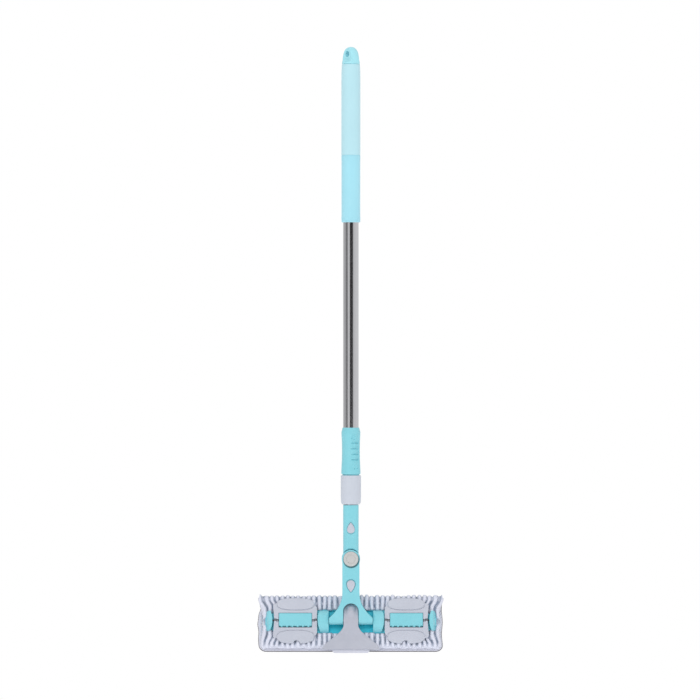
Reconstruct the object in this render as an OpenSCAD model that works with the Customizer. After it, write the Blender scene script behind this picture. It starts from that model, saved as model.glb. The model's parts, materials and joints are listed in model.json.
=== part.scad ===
// Flat mop with a telescopic steel pole, a two-axis neck and a clip head that holds a folded-over cloth pad.
// Millimetres. +Z runs up the handle, +X is the mop's right, and its front faces -Y.
// It hangs from its eye: the pole is pushed in, and the head is folded back against its stop.
// The origin is the middle of the bounding box, at its lowest level.

/* [Handle] */
// Height of the whole mop with the pole pushed in
overall_h = 1090; // [1070:1:1120]
// Length of the soft grip below the hanging cap
grip_l = 284.6; // [240:0.1:300]
// Outer diameter of the grip
grip_d = 34.2; // [33.8:0.1:36]
// Height of the hanging cap above the grip
cap_h = 31.4; // [30:0.1:36]
// Radius of the hanging eye
eye_r = 5.5; // [4:0.1:6]
// How far the eye is turned away from the front
eye_turn = 52; // [0:1:90]

/* [Pole] */
// Outer diameter of the outer steel tube
tube_d = 28; // [27.6:0.1:28.4]
// Outer diameter of the sliding steel tube
slide_d = 25; // [24.6:0.1:25.2]
// Wall of both steel tubes
tube_wall = 0.6; // [0.5:0.05:0.8]
// Length of the sliding tube
slide_l = 545; // [500:1:600]
// Travel of the pole
pole_travel = 300; // [200:1:320]

/* [Lock] */
// Height of the lower edge of the lock collar
collar_z = 321; // [318:0.5:324]
// Length of the lock collar
collar_l = 84; // [80:0.5:90]
// Height of the lower edge of the lock nut
nut_z = 266.4; // [265:0.1:268]
// Outer diameter of the lock nut
nut_d = 36.4; // [35:0.1:38]

/* [Neck] */
// Width of the upper neck
neck_w = 28; // [27.6:0.1:29]
// Depth of the upper neck from front to back
neck_depth = 31; // [30:0.5:34]
// Height of the side-to-side hinge
knob_z = 169; // [165:0.5:175]
// Diameter of the grey knob cap
knob_d = 26.8; // [24:0.1:28]
// Width of the yoke's stem
stem_w = 30.8; // [30:0.1:31.4]

/* [Head] */
// Height of the head's hinge line
axle_z = 58; // [56:0.5:60]
// Angle between the sole and the level when the mop hangs
head_lean = 70; // [60:1:72]
// Length of the base plate
base_l = 308; // [304:1:312]
// Depth of the base plate
base_w = 84; // [82:1:86]
// Level of the deck below the hinge line
deck_drop = 9; // [9:0.1:9.5]
// Thickness of the deck
deck_t = 5; // [4.5:0.1:6]
// Length of the cloth pad
pad_l = 330; // [326:1:336]
// Depth of the cloth pad
pad_w = 95; // [94:1:98]
// Thickness of the foam sole
foam_t = 6; // [4:0.5:8]
// Thickness of the pile under the foam
pile_t = 6; // [4:0.5:8]

/* [Hidden] */
$fn = 64;

// Colours
turquoise = [0.49, 0.84, 0.90];
pale_turquoise = [0.72, 0.91, 0.95];
grey = [0.76, 0.77, 0.82];
steel = [0.72, 0.73, 0.75];
dark_steel = [0.35, 0.37, 0.40];
cloth_white = [0.86, 0.88, 0.93];
foam_white = [0.93, 0.94, 0.95];

// The handle's axis stands forward of the middle, because the head lies behind it.
handle_y = -11.5;
e = 0.01;
fit_gap = 0.05;
run_gap = 0.35;

// Handle levels
cap_z = overall_h - cap_h;
grip_z = cap_z - grip_l;
overlay_z = grip_z + 121;
tube_r = tube_d / 2;
tube_ri = tube_r - tube_wall;
tube_z = collar_z + 9;
tube_top = cap_z - 6;
slide_r = slide_d / 2;
slide_ri = slide_r - tube_wall;
slide_z = nut_z - 61.4;
slide_top = slide_z + slide_l;
eye_z = overall_h - 13;
eye_web = 17;

// Lock levels
thread_r = 15.2;
thread_z = collar_z - 36;
nut_l = collar_z - 2 - nut_z;
nut_floor = 6;
collet_l = thread_z - nut_z - nut_floor - 0.8;

// Neck: the two hinge eyes turn inside circles that are slightly larger
cheek_r = 16.4;
turn_r = 17.4;
tongue_y = 8.7;
slot_y = 9.1;
stem_depth = 30;
bolt_r = 3;
neck_top = nut_z - 0.8;
stem_half = stem_w / 2;

// Fork: the legs straddle the scraper's tongue
leg_x = 39.4;
barrel_r = 8;
axle_r = 2.5;
notch_r = 13.9;
notch_c = 17;
cover_split = 2;
cover_z = axle_z + 34;

// Head: levels are measured from the hinge line
deck_top = -deck_drop;
deck_low = deck_top - deck_t;
foam_low = deck_low - foam_t;
sole_low = foam_low - pile_t;
well_x = 39.6;
well_y = 20.8;
well_floor = deck_top - 3.5;
cheek_x = [40, 60];
end_x = [141, 153.6];
cheek_bow = 46;
end_bow = 45;
saddle_x = [70.6, 129.4];
saddle_half = 12.7;
saddle_top = 3;
pin_r = 1.5;
pin_x = [57.5, 142.5];

// Clips: u runs from the hinge line to the jaw
arm_in = [60.8, 70];
arm_out = [130, 138.3];
clip_reach = 42;
hub_r = 2.7;
arm_clear = 3.2;
hub_slot = 2.4;
flap_top = deck_top + 4;
flap_y = 21.4;

// Scraper
tongue_half = 13.2;
bell_half = 51;
bell_y = -54;
blade_half = 33.3;
blade_t = 1.7;
blade_top = flap_top + 0.3;
blade_y = -(axle_z + (blade_top - blade_t) * cos(head_lean)) / sin(head_lean);

// ---------- Helpers ----------

module on_handle() {
    translate([0, handle_y, 0]) children();
}

module on_head() {
    translate([0, handle_y, axle_z]) rotate([head_lean, 0, 0]) children();
}

// Shape drawn in (depth, height), pushed out along X between two planes
module along_x(x0, x1) {
    translate([x0, 0, 0]) rotate([90, 0, 90]) linear_extrude(height = x1 - x0) children();
}

// Shape drawn in (width, height), pushed out along Y between two planes
module along_y(y0, y1) {
    translate([0, y1, 0]) rotate([90, 0, 0]) linear_extrude(height = y1 - y0) children();
}

module rod_x(x0, x1, r) {
    translate([x0, 0, 0]) rotate([0, 90, 0]) cylinder(r = r, h = x1 - x0);
}

module rod_y(y0, y1, r) {
    translate([0, y1, 0]) rotate([90, 0, 0]) cylinder(r = r, h = y1 - y0);
}

module rounded_rect(w, d, r) {
    square([w - 2 * r, d], center = true);
    square([w, d - 2 * r], center = true);
    for (sx = [-1, 1], sy = [-1, 1]) translate([sx * (w / 2 - r), sy * (d / 2 - r)]) circle(r = r);
}

module slab(w, d, r, z0, z1) {
    translate([0, 0, z0]) linear_extrude(height = z1 - z0) rounded_rect(w, d, r);
}

module tube(z0, z1, r_out, r_in) {
    translate([0, 0, z0]) difference() {
        cylinder(r = r_out, h = z1 - z0);
        translate([0, 0, -1]) cylinder(r = r_in, h = z1 - z0 + 2);
    }
}

// Points of an arc, for outlines
function arc(cx, cy, r, a0, a1, n) = [
    for (i = [0:n]) let (a = a0 + (a1 - a0) * i / n) [cx + r * cos(a), cy + r * sin(a)]
];

// Drop-shaped outline with its point at the top
module drop(w, h) {
    widest = 0.77;
    polygon([for (i = [0:35]) let (t = i * 10) [w / 2 / widest * sin(t) * sin(t / 2), h / 2 * cos(t)]]);
}

// ---------- Handle ----------

function cap_r(t) = 16.2 * pow(1 - pow(t, 2.4), 1 / 2.4);

module eye_frame() {
    translate([0, 0, eye_z]) rotate([0, 0, -eye_turn]) children();
}

module hanging_cap() {
    steps = 18;
    plug_l = 26;
    scoop_r = 6;
    color(turquoise) on_handle() difference() {
        union() {
            rotate_extrude($fn = 96) polygon(concat(
                [[0, cap_z]],
                [for (i = [0:steps]) let (t = sin(90 * i / steps)) [cap_r(t), cap_z + cap_h * t]]
            ));
            translate([0, 0, cap_z - plug_l]) cylinder(r = tube_ri - fit_gap, h = plug_l + e);
            tube(cap_z - 5, cap_z + e, 15.5, tube_r + fit_gap);
        }
        for (side = [-1, 1]) eye_frame() {
            translate([-30, side > 0 ? eye_web / 2 : -eye_web / 2 - 30, -9]) cube([60, 30, 60]);
            translate([0, side * (eye_web / 2 + scoop_r), -9]) rod_x(-30, 30, scoop_r);
        }
        eye_frame() rod_y(-30, 30, eye_r);
    }
}

module grip_sleeve() {
    r = grip_d / 2 - 0.25;
    edge = 3;
    top = cap_z - 5.1;
    color(turquoise) on_handle() difference() {
        rotate_extrude($fn = 96) polygon(concat(
            [[0, grip_z]],
            arc(r - edge, grip_z + edge, edge, -90, 0, 5),
            [[r, overlay_z], [15.6, overlay_z], [15.6, top], [0, top]]
        ));
        translate([0, 0, grip_z - 1]) cylinder(r = tube_r + fit_gap, h = grip_l + 2);
    }
}

module grip_overlay() {
    r = grip_d / 2;
    color(pale_turquoise) on_handle() rotate_extrude($fn = 96) polygon([
        [15.65, overlay_z + 0.1], [r, overlay_z + 0.1], [r, cap_z - 30], [r - 0.3, cap_z - 12],
        [16.25, cap_z - 0.1], [15.65, cap_z - 0.1]
    ]);
}

module outer_tube() {
    color(steel) on_handle() tube(tube_z, tube_top, tube_r, tube_ri);
}

// ---------- Lock ----------

module lock_collar() {
    waist_z = collar_z + 43;
    top = collar_z + collar_l;
    recess_r = 243;
    recess_depth = 14.9;
    color(turquoise) on_handle() {
        difference() {
            rotate_extrude($fn = 96) polygon([
                [thread_r, thread_z], [thread_r, collar_z], [16.9, collar_z], [17.4, collar_z + 1.5],
                [17.2, collar_z + 8], [16.3, waist_z - 18], [16, waist_z], [16.3, waist_z + 16],
                [17, top - 12], [17, top - 8], [14.9, top], [tube_r + fit_gap, top],
                [tube_r + fit_gap, tube_z], [13, tube_z], [13, thread_z]
            ]);
            rotate([0, 0, 50]) translate([0, -recess_depth - recess_r, waist_z]) rod_x(-9, 9, recess_r);
        }
        for (k = [0:3]) rotate([0, 0, 50])
            translate([0, -recess_depth, waist_z - 15 + 10 * k]) rod_x(-4, 4, 1);
    }
}

module collet() {
    low = nut_z + nut_floor + 0.4;
    slits = 6;
    color(foam_white) on_handle() difference() {
        rotate_extrude() polygon([
            [slide_r + run_gap, low], [14.2, low], [15, low + 2], [15, low + collet_l],
            [slide_r + run_gap, low + collet_l]
        ]);
        for (k = [0:slits / 2 - 1]) rotate([0, 0, k * 360 / slits])
            translate([-20, -0.6, low - 1]) cube([40, 1.2, collet_l - 3]);
    }
}

module lock_nut() {
    r = nut_d / 2;
    bore = slide_r + run_gap;
    cavity = thread_r + 0.4;
    top = nut_z + nut_l;
    color(grey) on_handle() rotate_extrude($fn = 96) polygon(concat(
        [[bore, nut_z], [14.4, nut_z]],
        arc(r - 4.2, nut_z + 4.5, 4, -70, 0, 8),
        [[r, nut_z + 14], [r, top - 2.4], [r - 1, top], [cavity, top]],
        [[cavity, nut_z + nut_floor], [bore, nut_z + nut_floor]]
    ));
}

// ---------- Sliding pole and upper neck ----------

module inner_tube() {
    color(steel) on_handle() difference() {
        tube(slide_z, slide_top, slide_r, slide_ri);
        translate([0, 0, slide_z + 20]) rod_y(-20, 0, 1.6);
    }
}

module inner_tube_guide() {
    spigot = slide_ri - fit_gap;
    rim = 9;
    color(foam_white) on_handle() difference() {
        union() {
            translate([0, 0, slide_top]) cylinder(r = tube_ri - 0.07, h = rim);
            translate([0, 0, slide_top - 16]) cylinder(r = spigot, h = 16 + e);
        }
        translate([0, 0, slide_top - 17]) cylinder(r = 8, h = 30);
    }
}

module tube_plug() {
    color(grey) on_handle() difference() {
        translate([0, 0, slide_z + 0.5]) cylinder(r = slide_ri - fit_gap, h = 38);
        translate([0, 0, slide_z + 20]) rod_y(-20, 0, 1.6);
    }
}

// Outline of the neck seen from above, with flattened faces
module neck_outline(w, d) {
    rounded_rect(w, d, 9.5);
}

module upper_neck() {
    face = neck_depth / 2;
    color(turquoise) on_handle() difference() {
        union() {
            difference() {
                translate([0, 0, knob_z])
                    linear_extrude(height = neck_top - knob_z) neck_outline(neck_w, neck_depth);
                translate([0, 0, knob_z]) for (s = [-1, 1]) {
                    rod_y(s > 0 ? tongue_y : -20, s > 0 ? 20 : -tongue_y, turn_r);
                    translate([0, s * face, 0]) rotate([90, 0, 0]) translate([0, 0, s > 0 ? 0 : -2.4])
                        cylinder(r1 = turn_r + (s > 0 ? 2.4 : 0), r2 = turn_r + (s > 0 ? 0 : 2.4), h = 2.4);
                }
            }
            intersection() {
                translate([0, 0, knob_z]) rod_y(-tongue_y, tongue_y, turn_r - 0.4);
                translate([-neck_w / 2, -20, knob_z - 20]) cube([neck_w, 40, 40]);
            }
        }
        translate([0, 0, slide_z]) cylinder(r = slide_r + fit_gap, h = 100);
        translate([0, 0, knob_z]) rod_y(-20, 20, bolt_r + fit_gap);
        translate([0, 0, slide_z + 20]) along_y(-face - 1, -face + 1.3) drop(16, 23);
        translate([0, 0, slide_z + 20]) rod_y(-face, 0, 3.5);
        for (k = [0:1]) translate([0, 0, neck_top - 4 - 3.5 * k]) difference() {
            translate([0, 0, -0.4]) linear_extrude(height = 0.8) square(60, center = true);
            translate([0, 0, -1]) linear_extrude(height = 2) neck_outline(neck_w - 0.7, neck_depth - 0.7);
        }
    }
}

module countersunk_screw(head_y, l, head_r, r) {
    rod_y(head_y, head_y + 1.4, head_r);
    rod_y(head_y + 1.4 - e, head_y + l, r);
}

module neck_screw() {
    color(steel) on_handle() translate([0, 0, slide_z + 20]) difference() {
        countersunk_screw(-neck_depth / 2 + 1.5, 14, 3.2, 1.5);
        translate([-2, -neck_depth / 2 + 1.4, -0.4]) cube([4, 0.6, 0.8]);
        translate([-0.4, -neck_depth / 2 + 1.4, -2]) cube([0.8, 0.6, 4]);
    }
}

module upper_screw_cover() {
    face = neck_depth / 2;
    color(grey) on_handle() translate([0, 0, slide_z + 20])
        along_y(-face - 0.4, -face + 1.25) drop(15.4, 22.2);
}

// ---------- Yoke ----------

// Stem, flare and fork seen from the front, with the hinge line at height 0
module yoke_outline() {
    stem_foot = 51;
    flare = [
        for (i = [0:10]) let (t = i / 10)
            [stem_half + (leg_x - stem_half) * pow(t, 1.9), stem_foot - (stem_foot - 4.5) * pow(t, 0.82)]
    ];
    right = concat([[stem_half, knob_z - axle_z]], flare, [[leg_x, -barrel_r]]);
    left = [for (i = [len(right) - 1:-1:0]) [-right[i][0], right[i][1]]];
    polygon(concat(right, left));
    translate([0, knob_z - axle_z]) circle(r = cheek_r);
}

// The same piece seen from the side
module yoke_profile() {
    half = stem_depth / 2;
    circle(r = barrel_r);
    polygon([
        [-barrel_r, 0], [barrel_r, 0], [9.6, 16], [12, 34], [half - 1, 52], [half, 66],
        [half, knob_z - axle_z + 20], [-half, knob_z - axle_z + 20], [-half, 66], [-half + 1, 52], [-12, 34],
        [-9.6, 16]
    ]);
}

module yoke_block() {
    intersection() {
        along_y(-20, 20) yoke_outline();
        along_x(-60, 60) yoke_profile();
    }
}

// The back cover closes the stem and carries the rear hinge eye
module cover_region(gap) {
    translate([-30, cover_split + gap, cover_z - axle_z + gap]) cube([60, 30, 130]);
}

module yoke_cuts() {
    hinge = knob_z - axle_z;
    along_y(-30, 30) {
        translate([0, notch_c]) circle(r = notch_r);
        translate([-notch_r, -20]) square([2 * notch_r, 20 + notch_c]);
    }
    rod_x(-50, 50, axle_r + fit_gap);
    translate([0, 0, hinge]) rod_y(-slot_y, slot_y, turn_r);
    translate([-30, -slot_y, hinge]) cube([60, 2 * slot_y, 30]);
    translate([0, 0, hinge]) rod_y(-30, 30, bolt_r + 0.02);
}

cover_mid = axle_z + 62;

module yoke() {
    face = stem_depth / 2;
    color(turquoise) on_handle() translate([0, 0, axle_z]) difference() {
        union() {
            yoke_block();
            translate([0, 0, knob_z - axle_z]) rod_y(-face - 1.4, -face + 1, cheek_r);
        }
        cover_region(0);
        yoke_cuts();
        translate([0, 0, knob_z - axle_z]) {
            rod_y(-face - 2, -face, knob_d / 2 + 0.2);
            rod_y(-face - 2, -face + 2.6, 6.3);
        }
        translate([0, 0, cover_mid - axle_z]) {
            along_y(-face - 1, -face + 2) mirror([0, 1]) drop(17, 25);
            rod_y(-face, -face + 3.6, 3.5);
            rod_y(-face, face, 1.7);
        }
    }
}

module yoke_back_cover() {
    face = stem_depth / 2;
    color(turquoise) on_handle() translate([0, 0, axle_z]) difference() {
        intersection() {
            yoke_block();
            cover_region(0.1);
        }
        yoke_cuts();
        translate([0, 0, knob_z - axle_z]) rod_y(face - 3, face + 1, 6.4);
        translate([0, 0, cover_mid - axle_z]) rod_y(0, 12, 1.52);
    }
}

module yoke_screw() {
    head_y = -stem_depth / 2 + 2.1;
    color(steel) on_handle() translate([0, 0, cover_mid]) difference() {
        countersunk_screw(head_y, 24, 3.2, 1.5);
        translate([-2, head_y - 0.1, -0.4]) cube([4, 0.6, 0.8]);
        translate([-0.4, head_y - 0.1, -2]) cube([0.8, 0.6, 4]);
    }
}

module lower_screw_cover() {
    face = stem_depth / 2;
    color(grey) on_handle() translate([0, 0, cover_mid])
        along_y(-face - 0.4, -face + 1.95) mirror([0, 1]) drop(16.4, 24.2);
}

module hinge_bolt() {
    face = stem_depth / 2;
    color(steel) on_handle() translate([0, 0, knob_z]) {
        rod_y(-face + 0.2, -face + 2.5, 6);
        rod_y(-face + 2, face - 0.3, bolt_r);
    }
}

module hinge_nut() {
    face = stem_depth / 2;
    color(steel) on_handle() translate([0, 0, knob_z]) difference() {
        translate([0, face - 0.2, 0]) rotate([90, 0, 0]) cylinder(r = 6.2, h = 2.7, $fn = 6);
        rod_y(0, 30, bolt_r + 0.02);
    }
}

module knob_cap() {
    face = stem_depth / 2;
    r = knob_d / 2;
    color(grey) on_handle() translate([0, -face - 0.05, knob_z]) rotate([90, 0, 0]) rotate_extrude() polygon([
        [0, 0], [r, 0], [r, 1.8], [r - 1, 2.8], [8.6, 3], [8.2, 2.4], [7.4, 2.4], [7, 3], [0, 3.2]
    ]);
}

// ---------- Base ----------

// A pillow-shaped block: round-topped along the mop's depth, and rounded across its width
module pillow(x0, x1, half, top) {
    mid = (x0 + x1) / 2;
    arch_r = (half * half + (top - deck_top) * (top - deck_top)) / (2 * (top - deck_top));
    width_r = 0.72 * (x1 - x0);
    intersection() {
        along_x(x0, x1) intersection() {
            translate([0, top - arch_r]) circle(r = arch_r, $fn = 128);
            translate([-half, deck_top - 1]) square([2 * half, top - deck_top + 2]);
        }
        translate([0, half + 1, 0]) rotate([90, 0, 0]) linear_extrude(height = 2 * half + 2) union() {
            translate([mid, top - width_r]) circle(r = width_r, $fn = 128);
            translate([x0, deck_top - 1]) square([x1 - x0, 4]);
        }
    }
}

// End block: bowed on the inside and sloping down to the end of the deck
module end_block() {
    intersection() {
        along_y(-17.7, 17.7) polygon([
            [end_x[0], deck_top - 1], [end_x[0], 2], [end_x[0] + 1, 3], [end_x[0] + 7, 3],
            [end_x[1], deck_top], [end_x[1], deck_top - 1]
        ]);
        translate([end_x[0] - 14, 0, -20]) cylinder(r = 30, h = 40, $fn = 128);
        translate([end_x[0] + end_bow, 0, -20]) cylinder(r = end_bow, h = 40, $fn = 192);
    }
}

module base_side() {
    difference() {
        union() {
            intersection() {
                pillow(cheek_x[0], cheek_x[1], 21, 9);
                translate([cheek_x[1] - cheek_bow, 0, -20]) cylinder(r = cheek_bow, h = 40, $fn = 192);
            }
            end_block();
        }
        rod_x(0, 47, axle_r + 0.02);
        rod_x(pin_x[0] - 0.2, pin_x[1] + 0.2, pin_r + 0.02);
    }
}

screw_y = [16, -15];

module base_plate() {
    color(turquoise) on_head() difference() {
        union() {
            difference() {
                slab(base_l, base_w, 9, deck_low, deck_top);
                translate([-well_x, -well_y, well_floor]) cube([2 * well_x, 2 * well_y, 20]);
            }
            base_side();
            mirror([1, 0, 0]) base_side();
            along_x(-10.5, 10.5) {
                circle(r = 5.6);
                translate([-5.6, well_floor - e]) square([11.2, -well_floor]);
            }
        }
        rod_x(-12, 12, axle_r + 0.02);
        for (y = screw_y) translate([0, y, deck_low]) {
            translate([0, 0, -1]) cylinder(r = 1.7, h = 20);
            translate([0, 0, -1]) cylinder(r = 3.4, h = 2.2);
        }
    }
}

module yoke_axle() {
    color(steel) on_head() rod_x(-46.5, 46.5, axle_r);
}

module saddle(side) {
    color(turquoise) on_head() mirror([side < 0 ? 1 : 0, 0, 0]) difference() {
        along_x(saddle_x[0], saddle_x[1]) polygon(concat(
            [[saddle_half, deck_top], [-saddle_half, deck_top]],
            arc(-saddle_half + 2, saddle_top - 2.3, 2, 180, 100, 5),
            arc(saddle_half - 2, saddle_top - 2.3, 2, 80, 0, 5)
        ));
        rod_x(0, 150, pin_r + 0.02);
    }
}

module saddle_left() { saddle(-1); }
module saddle_right() { saddle(1); }

module clip_pin(side) {
    color(dark_steel) on_head() mirror([side < 0 ? 1 : 0, 0, 0]) rod_x(pin_x[0], pin_x[1], pin_r);
}

module clip_pin_left() { clip_pin(-1); }
module clip_pin_right() { clip_pin(1); }

// ---------- Clips ----------

clip_mid = (arm_in[0] + arm_out[1]) / 2;

// Oval of a clip's thumb pad seen from above; u is the second axis
module thumb_pad(grow) {
    half_w = 33.6 + grow;
    half_u = 11.6 + grow;
    translate([clip_mid, clip_reach - 11.6]) polygon([
        for (i = [0:71]) let (c = cos(5 * i), s = sin(5 * i))
            [half_w * sign(c) * pow(abs(c), 0.72), half_u * sign(s) * pow(abs(s), 0.8)]
    ]);
}

// Plate of a clip seen from above, without its hubs: two arms, their shoulders and the rim of the pad
module clip_outline() {
    polygon([
        [arm_in[0], arm_clear], [arm_in[0], 20], [61.2, 24], [63, 27], [66, 29], [80, 34], [120, 34],
        [134, 32.4], [138, 31.6], [140, 29.6], [140.2, 26.6], [139.4, 18], [arm_out[1], arm_clear],
        [arm_out[0], arm_clear], [arm_out[0], saddle_half + 0.9], [arm_in[1], saddle_half + 0.9],
        [arm_in[1], arm_clear]
    ]);
    thumb_pad(0.4);
}

// Section of the plate, lifted for the raised thumb pad
module clip_section(lift) {
    edge = clip_reach + 0.4;
    polygon([
        [0, 1.3 + lift], [14, 1.2 + lift], [30, -0.7 + lift], [edge, -2.6 + lift], [edge, flap_top + 0.4],
        [edge - 3.4, flap_top + 0.4], [30, -3.4], [14, -1.4], [0, -1.6]
    ]);
}

module clip_hub(x0, x1) {
    difference() {
        union() {
            rod_x(x0, x1, hub_r);
            translate([x0, 0, -1.6]) cube([x1 - x0, arm_clear + 0.5, 3.1]);
        }
        rod_x(x0 - 1, x1 + 1, pin_r + fit_gap);
        translate([x0 - 1, -hub_slot / 2, 0]) cube([x1 - x0 + 2, hub_slot, 5]);
    }
}

// One clip. The front and back clips share a pin, so their hubs stand side by side on it.
module clip(side, front) {
    hubs = front ? [[60.9, 65.2], [134.2, 138.2]] : [[65.6, 69.9], [130.1, 133.8]];
    color(grey) on_head() mirror([side < 0 ? 1 : 0, 0, 0]) mirror([0, front ? 1 : 0, 0]) {
        difference() {
            union() {
                intersection() {
                    translate([0, 0, -20]) linear_extrude(height = 40) clip_outline();
                    along_x(40, 160) clip_section(0);
                }
                intersection() {
                    translate([0, 0, -20]) linear_extrude(height = 40) thumb_pad(-0.6);
                    along_x(40, 160) clip_section(1.5);
                }
            }
            if (front) translate([clip_mid - 1.5, clip_reach + 1.6, -20]) cylinder(r = 6.8, h = 40);
        }
        for (h = hubs) clip_hub(h[0], h[1]);
    }
}

module clip_front_left() { clip(-1, true); }
module clip_back_left() { clip(-1, false); }
module clip_front_right() { clip(1, true); }
module clip_back_right() { clip(1, false); }

// ---------- Scraper ----------

function smooth(t) = t * t * (3 - 2 * t);

module scraper_outline() {
    top_c = 16.6;
    flare_y = -11;
    flare = [
        for (i = [0:14]) let (t = i / 14)
            [tongue_half + (bell_half - tongue_half) * smooth(t), flare_y + (bell_y + 1 - flare_y) * t]
    ];
    right = concat(arc(0, top_c, tongue_half, 90, 0, 12), flare, [[bell_half, bell_y]]);
    left = [for (i = [len(right) - 1:-1:0]) [-right[i][0], right[i][1]]];
    polygon(concat(right, left));
}

module scraper_profile() {
    low = blade_top;
    polygon([
        [29.8, deck_top + 0.05], [29.8, 5], [28, 6.6], [24, 7.6], [12, 9], [0, 9.4], [-8, 8], [-16, 5],
        [-26, 1.4], [-38, -0.8], [bell_y, -2.2], [bell_y, low], [-well_y + 0.2, low],
        [-well_y + 0.2, well_floor + 0.05], [well_y - 0.2, well_floor + 0.05], [well_y - 0.2, deck_top + 0.05]
    ]);
}

module scraper() {
    color(grey) on_head() difference() {
        intersection() {
            translate([0, 0, -30]) linear_extrude(height = 60) scraper_outline();
            along_x(-60, 60) scraper_profile();
        }
        along_x(-10.9, 10.9) {
            circle(r = 6);
            translate([-6, -20]) square([12, 20]);
        }
        rod_x(-20, 20, axle_r + 0.3);
        for (y = screw_y) translate([0, y, -30]) cylinder(r = 1.32, h = 30 - 2);
    }
}

module scraper_blade() {
    back = -pad_w / 2 - 1.6;
    color(grey) on_head() translate([0, 0, blade_top - blade_t]) linear_extrude(blade_t - 0.05) polygon([
        [-blade_half, back], [blade_half, back], [blade_half, blade_y + 3], [blade_half - 3, blade_y],
        [-blade_half + 3, blade_y], [-blade_half, blade_y + 3]
    ]);
}

module scraper_screws() {
    color(steel) on_head() for (y = screw_y) translate([0, y, deck_low + 0.1]) difference() {
        union() {
            cylinder(r = 3.2, h = 1);
            cylinder(r = 1.3, h = 11);
        }
        translate([-2, -0.4, -0.1]) cube([4, 0.8, 0.6]);
        translate([-0.4, -2, -0.1]) cube([0.8, 4, 0.6]);
    }
}

// ---------- Pad ----------

module foam_pad() {
    color(foam_white) on_head() slab(base_l - 4, base_w - 2, 8, foam_low + 0.05, deck_low - 0.05);
}

module cloth_sole() {
    color(cloth_white) on_head() slab(pad_l - 3.2, pad_w - 3.2, 10, sole_low, foam_low - 0.05);
}

module edge_binding() {
    color(foam_white) on_head() difference() {
        slab(pad_l, pad_w, 11.6, sole_low + 0.6, foam_low - 0.05);
        slab(pad_l - 3.1, pad_w - 3.1, 10, sole_low - 1, foam_low + 1);
    }
}

// Flap that comes up over the long edge and lies on the deck, with its ends cut on a slant
module flap(back) {
    edge = pad_w / 2 - 0.2;
    inner = base_w / 2 + 0.4;
    ends = pad_l / 2 - 2;
    color(cloth_white) on_head() mirror([0, back ? 0 : 1, 0]) difference() {
        union() {
            along_x(-ends, ends) polygon([
                [edge, foam_low + 0.05], [edge, flap_top - 2], [edge - 2, flap_top], [inner - e, flap_top],
                [inner, foam_low + 0.05]
            ]);
            translate([0, 0, deck_top + 0.05]) linear_extrude(height = flap_top - deck_top - 0.05) polygon([
                [-ends, inner], [ends, inner], [ends - 2, inner - 5], [146, flap_y], [-146, flap_y],
                [-ends + 2, inner - 5]
            ]);
        }
        if (back) translate([-tongue_half - 1.2, 0, -20]) cube([2 * tongue_half + 2.4, 31.4, 40]);
    }
}

module cloth_front_flap() { flap(false); }
module cloth_back_flap() { flap(true); }

hanging_cap();
grip_sleeve();
grip_overlay();
outer_tube();
lock_collar();
collet();
lock_nut();
inner_tube();
inner_tube_guide();
tube_plug();
upper_neck();
neck_screw();
upper_screw_cover();
yoke();
yoke_back_cover();
yoke_screw();
lower_screw_cover();
hinge_bolt();
hinge_nut();
knob_cap();
base_plate();
yoke_axle();
saddle_left();
saddle_right();
clip_pin_left();
clip_pin_right();
clip_front_left();
clip_back_left();
clip_front_right();
clip_back_right();
scraper();
scraper_blade();
scraper_screws();
foam_pad();
cloth_sole();
edge_binding();
cloth_front_flap();
cloth_back_flap();
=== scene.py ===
"""Flat mop: steel telescopic pole, two-axis neck, clip head and a folded microfibre pad.

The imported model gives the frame. This script builds the finished pieces around it, in metres, and dresses
every piece in a procedural material. +Z runs up the handle and the mop's front faces -Y.
"""

import json
import math
import random

import bmesh
import bpy
import numpy as np
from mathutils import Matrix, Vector


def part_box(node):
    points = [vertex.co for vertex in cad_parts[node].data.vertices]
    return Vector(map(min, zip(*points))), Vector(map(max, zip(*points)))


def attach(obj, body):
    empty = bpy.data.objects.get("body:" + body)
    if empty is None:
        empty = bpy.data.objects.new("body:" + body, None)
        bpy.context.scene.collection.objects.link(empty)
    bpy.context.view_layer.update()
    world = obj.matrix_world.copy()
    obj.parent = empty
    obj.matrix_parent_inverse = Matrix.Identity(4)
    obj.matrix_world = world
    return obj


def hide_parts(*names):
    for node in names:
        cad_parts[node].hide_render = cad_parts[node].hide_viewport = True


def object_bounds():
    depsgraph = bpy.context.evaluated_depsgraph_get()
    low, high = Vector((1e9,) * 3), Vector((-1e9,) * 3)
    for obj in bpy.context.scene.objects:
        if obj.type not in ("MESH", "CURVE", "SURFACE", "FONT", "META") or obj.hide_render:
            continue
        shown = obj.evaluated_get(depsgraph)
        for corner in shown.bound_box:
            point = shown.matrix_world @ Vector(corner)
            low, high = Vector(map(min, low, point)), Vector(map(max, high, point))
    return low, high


bl_info = {
    "name": "Flat mop",
    "version": (1, 0, 0),
    "blender": (4, 5, 0),
    "location": "3D Viewport > Sidebar > Flat mop",
    "description": "Builds a flat mop with a telescopic pole, a clip head and a microfibre pad",
    "category": "Add Mesh",
}

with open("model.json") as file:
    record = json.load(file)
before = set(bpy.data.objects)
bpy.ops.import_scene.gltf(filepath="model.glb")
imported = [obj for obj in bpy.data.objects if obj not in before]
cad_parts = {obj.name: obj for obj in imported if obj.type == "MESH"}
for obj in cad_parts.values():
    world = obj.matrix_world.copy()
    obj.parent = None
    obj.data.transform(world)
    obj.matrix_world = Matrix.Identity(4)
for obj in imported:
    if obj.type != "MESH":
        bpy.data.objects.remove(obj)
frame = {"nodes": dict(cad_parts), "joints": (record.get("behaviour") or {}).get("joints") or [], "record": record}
CAD_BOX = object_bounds()
MM = 0.001


# ---------- Places on the frame ----------

def joint_place(name):
    return Vector(next(j for j in frame["joints"] if j["name"] == name)["pos_m"])


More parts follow.
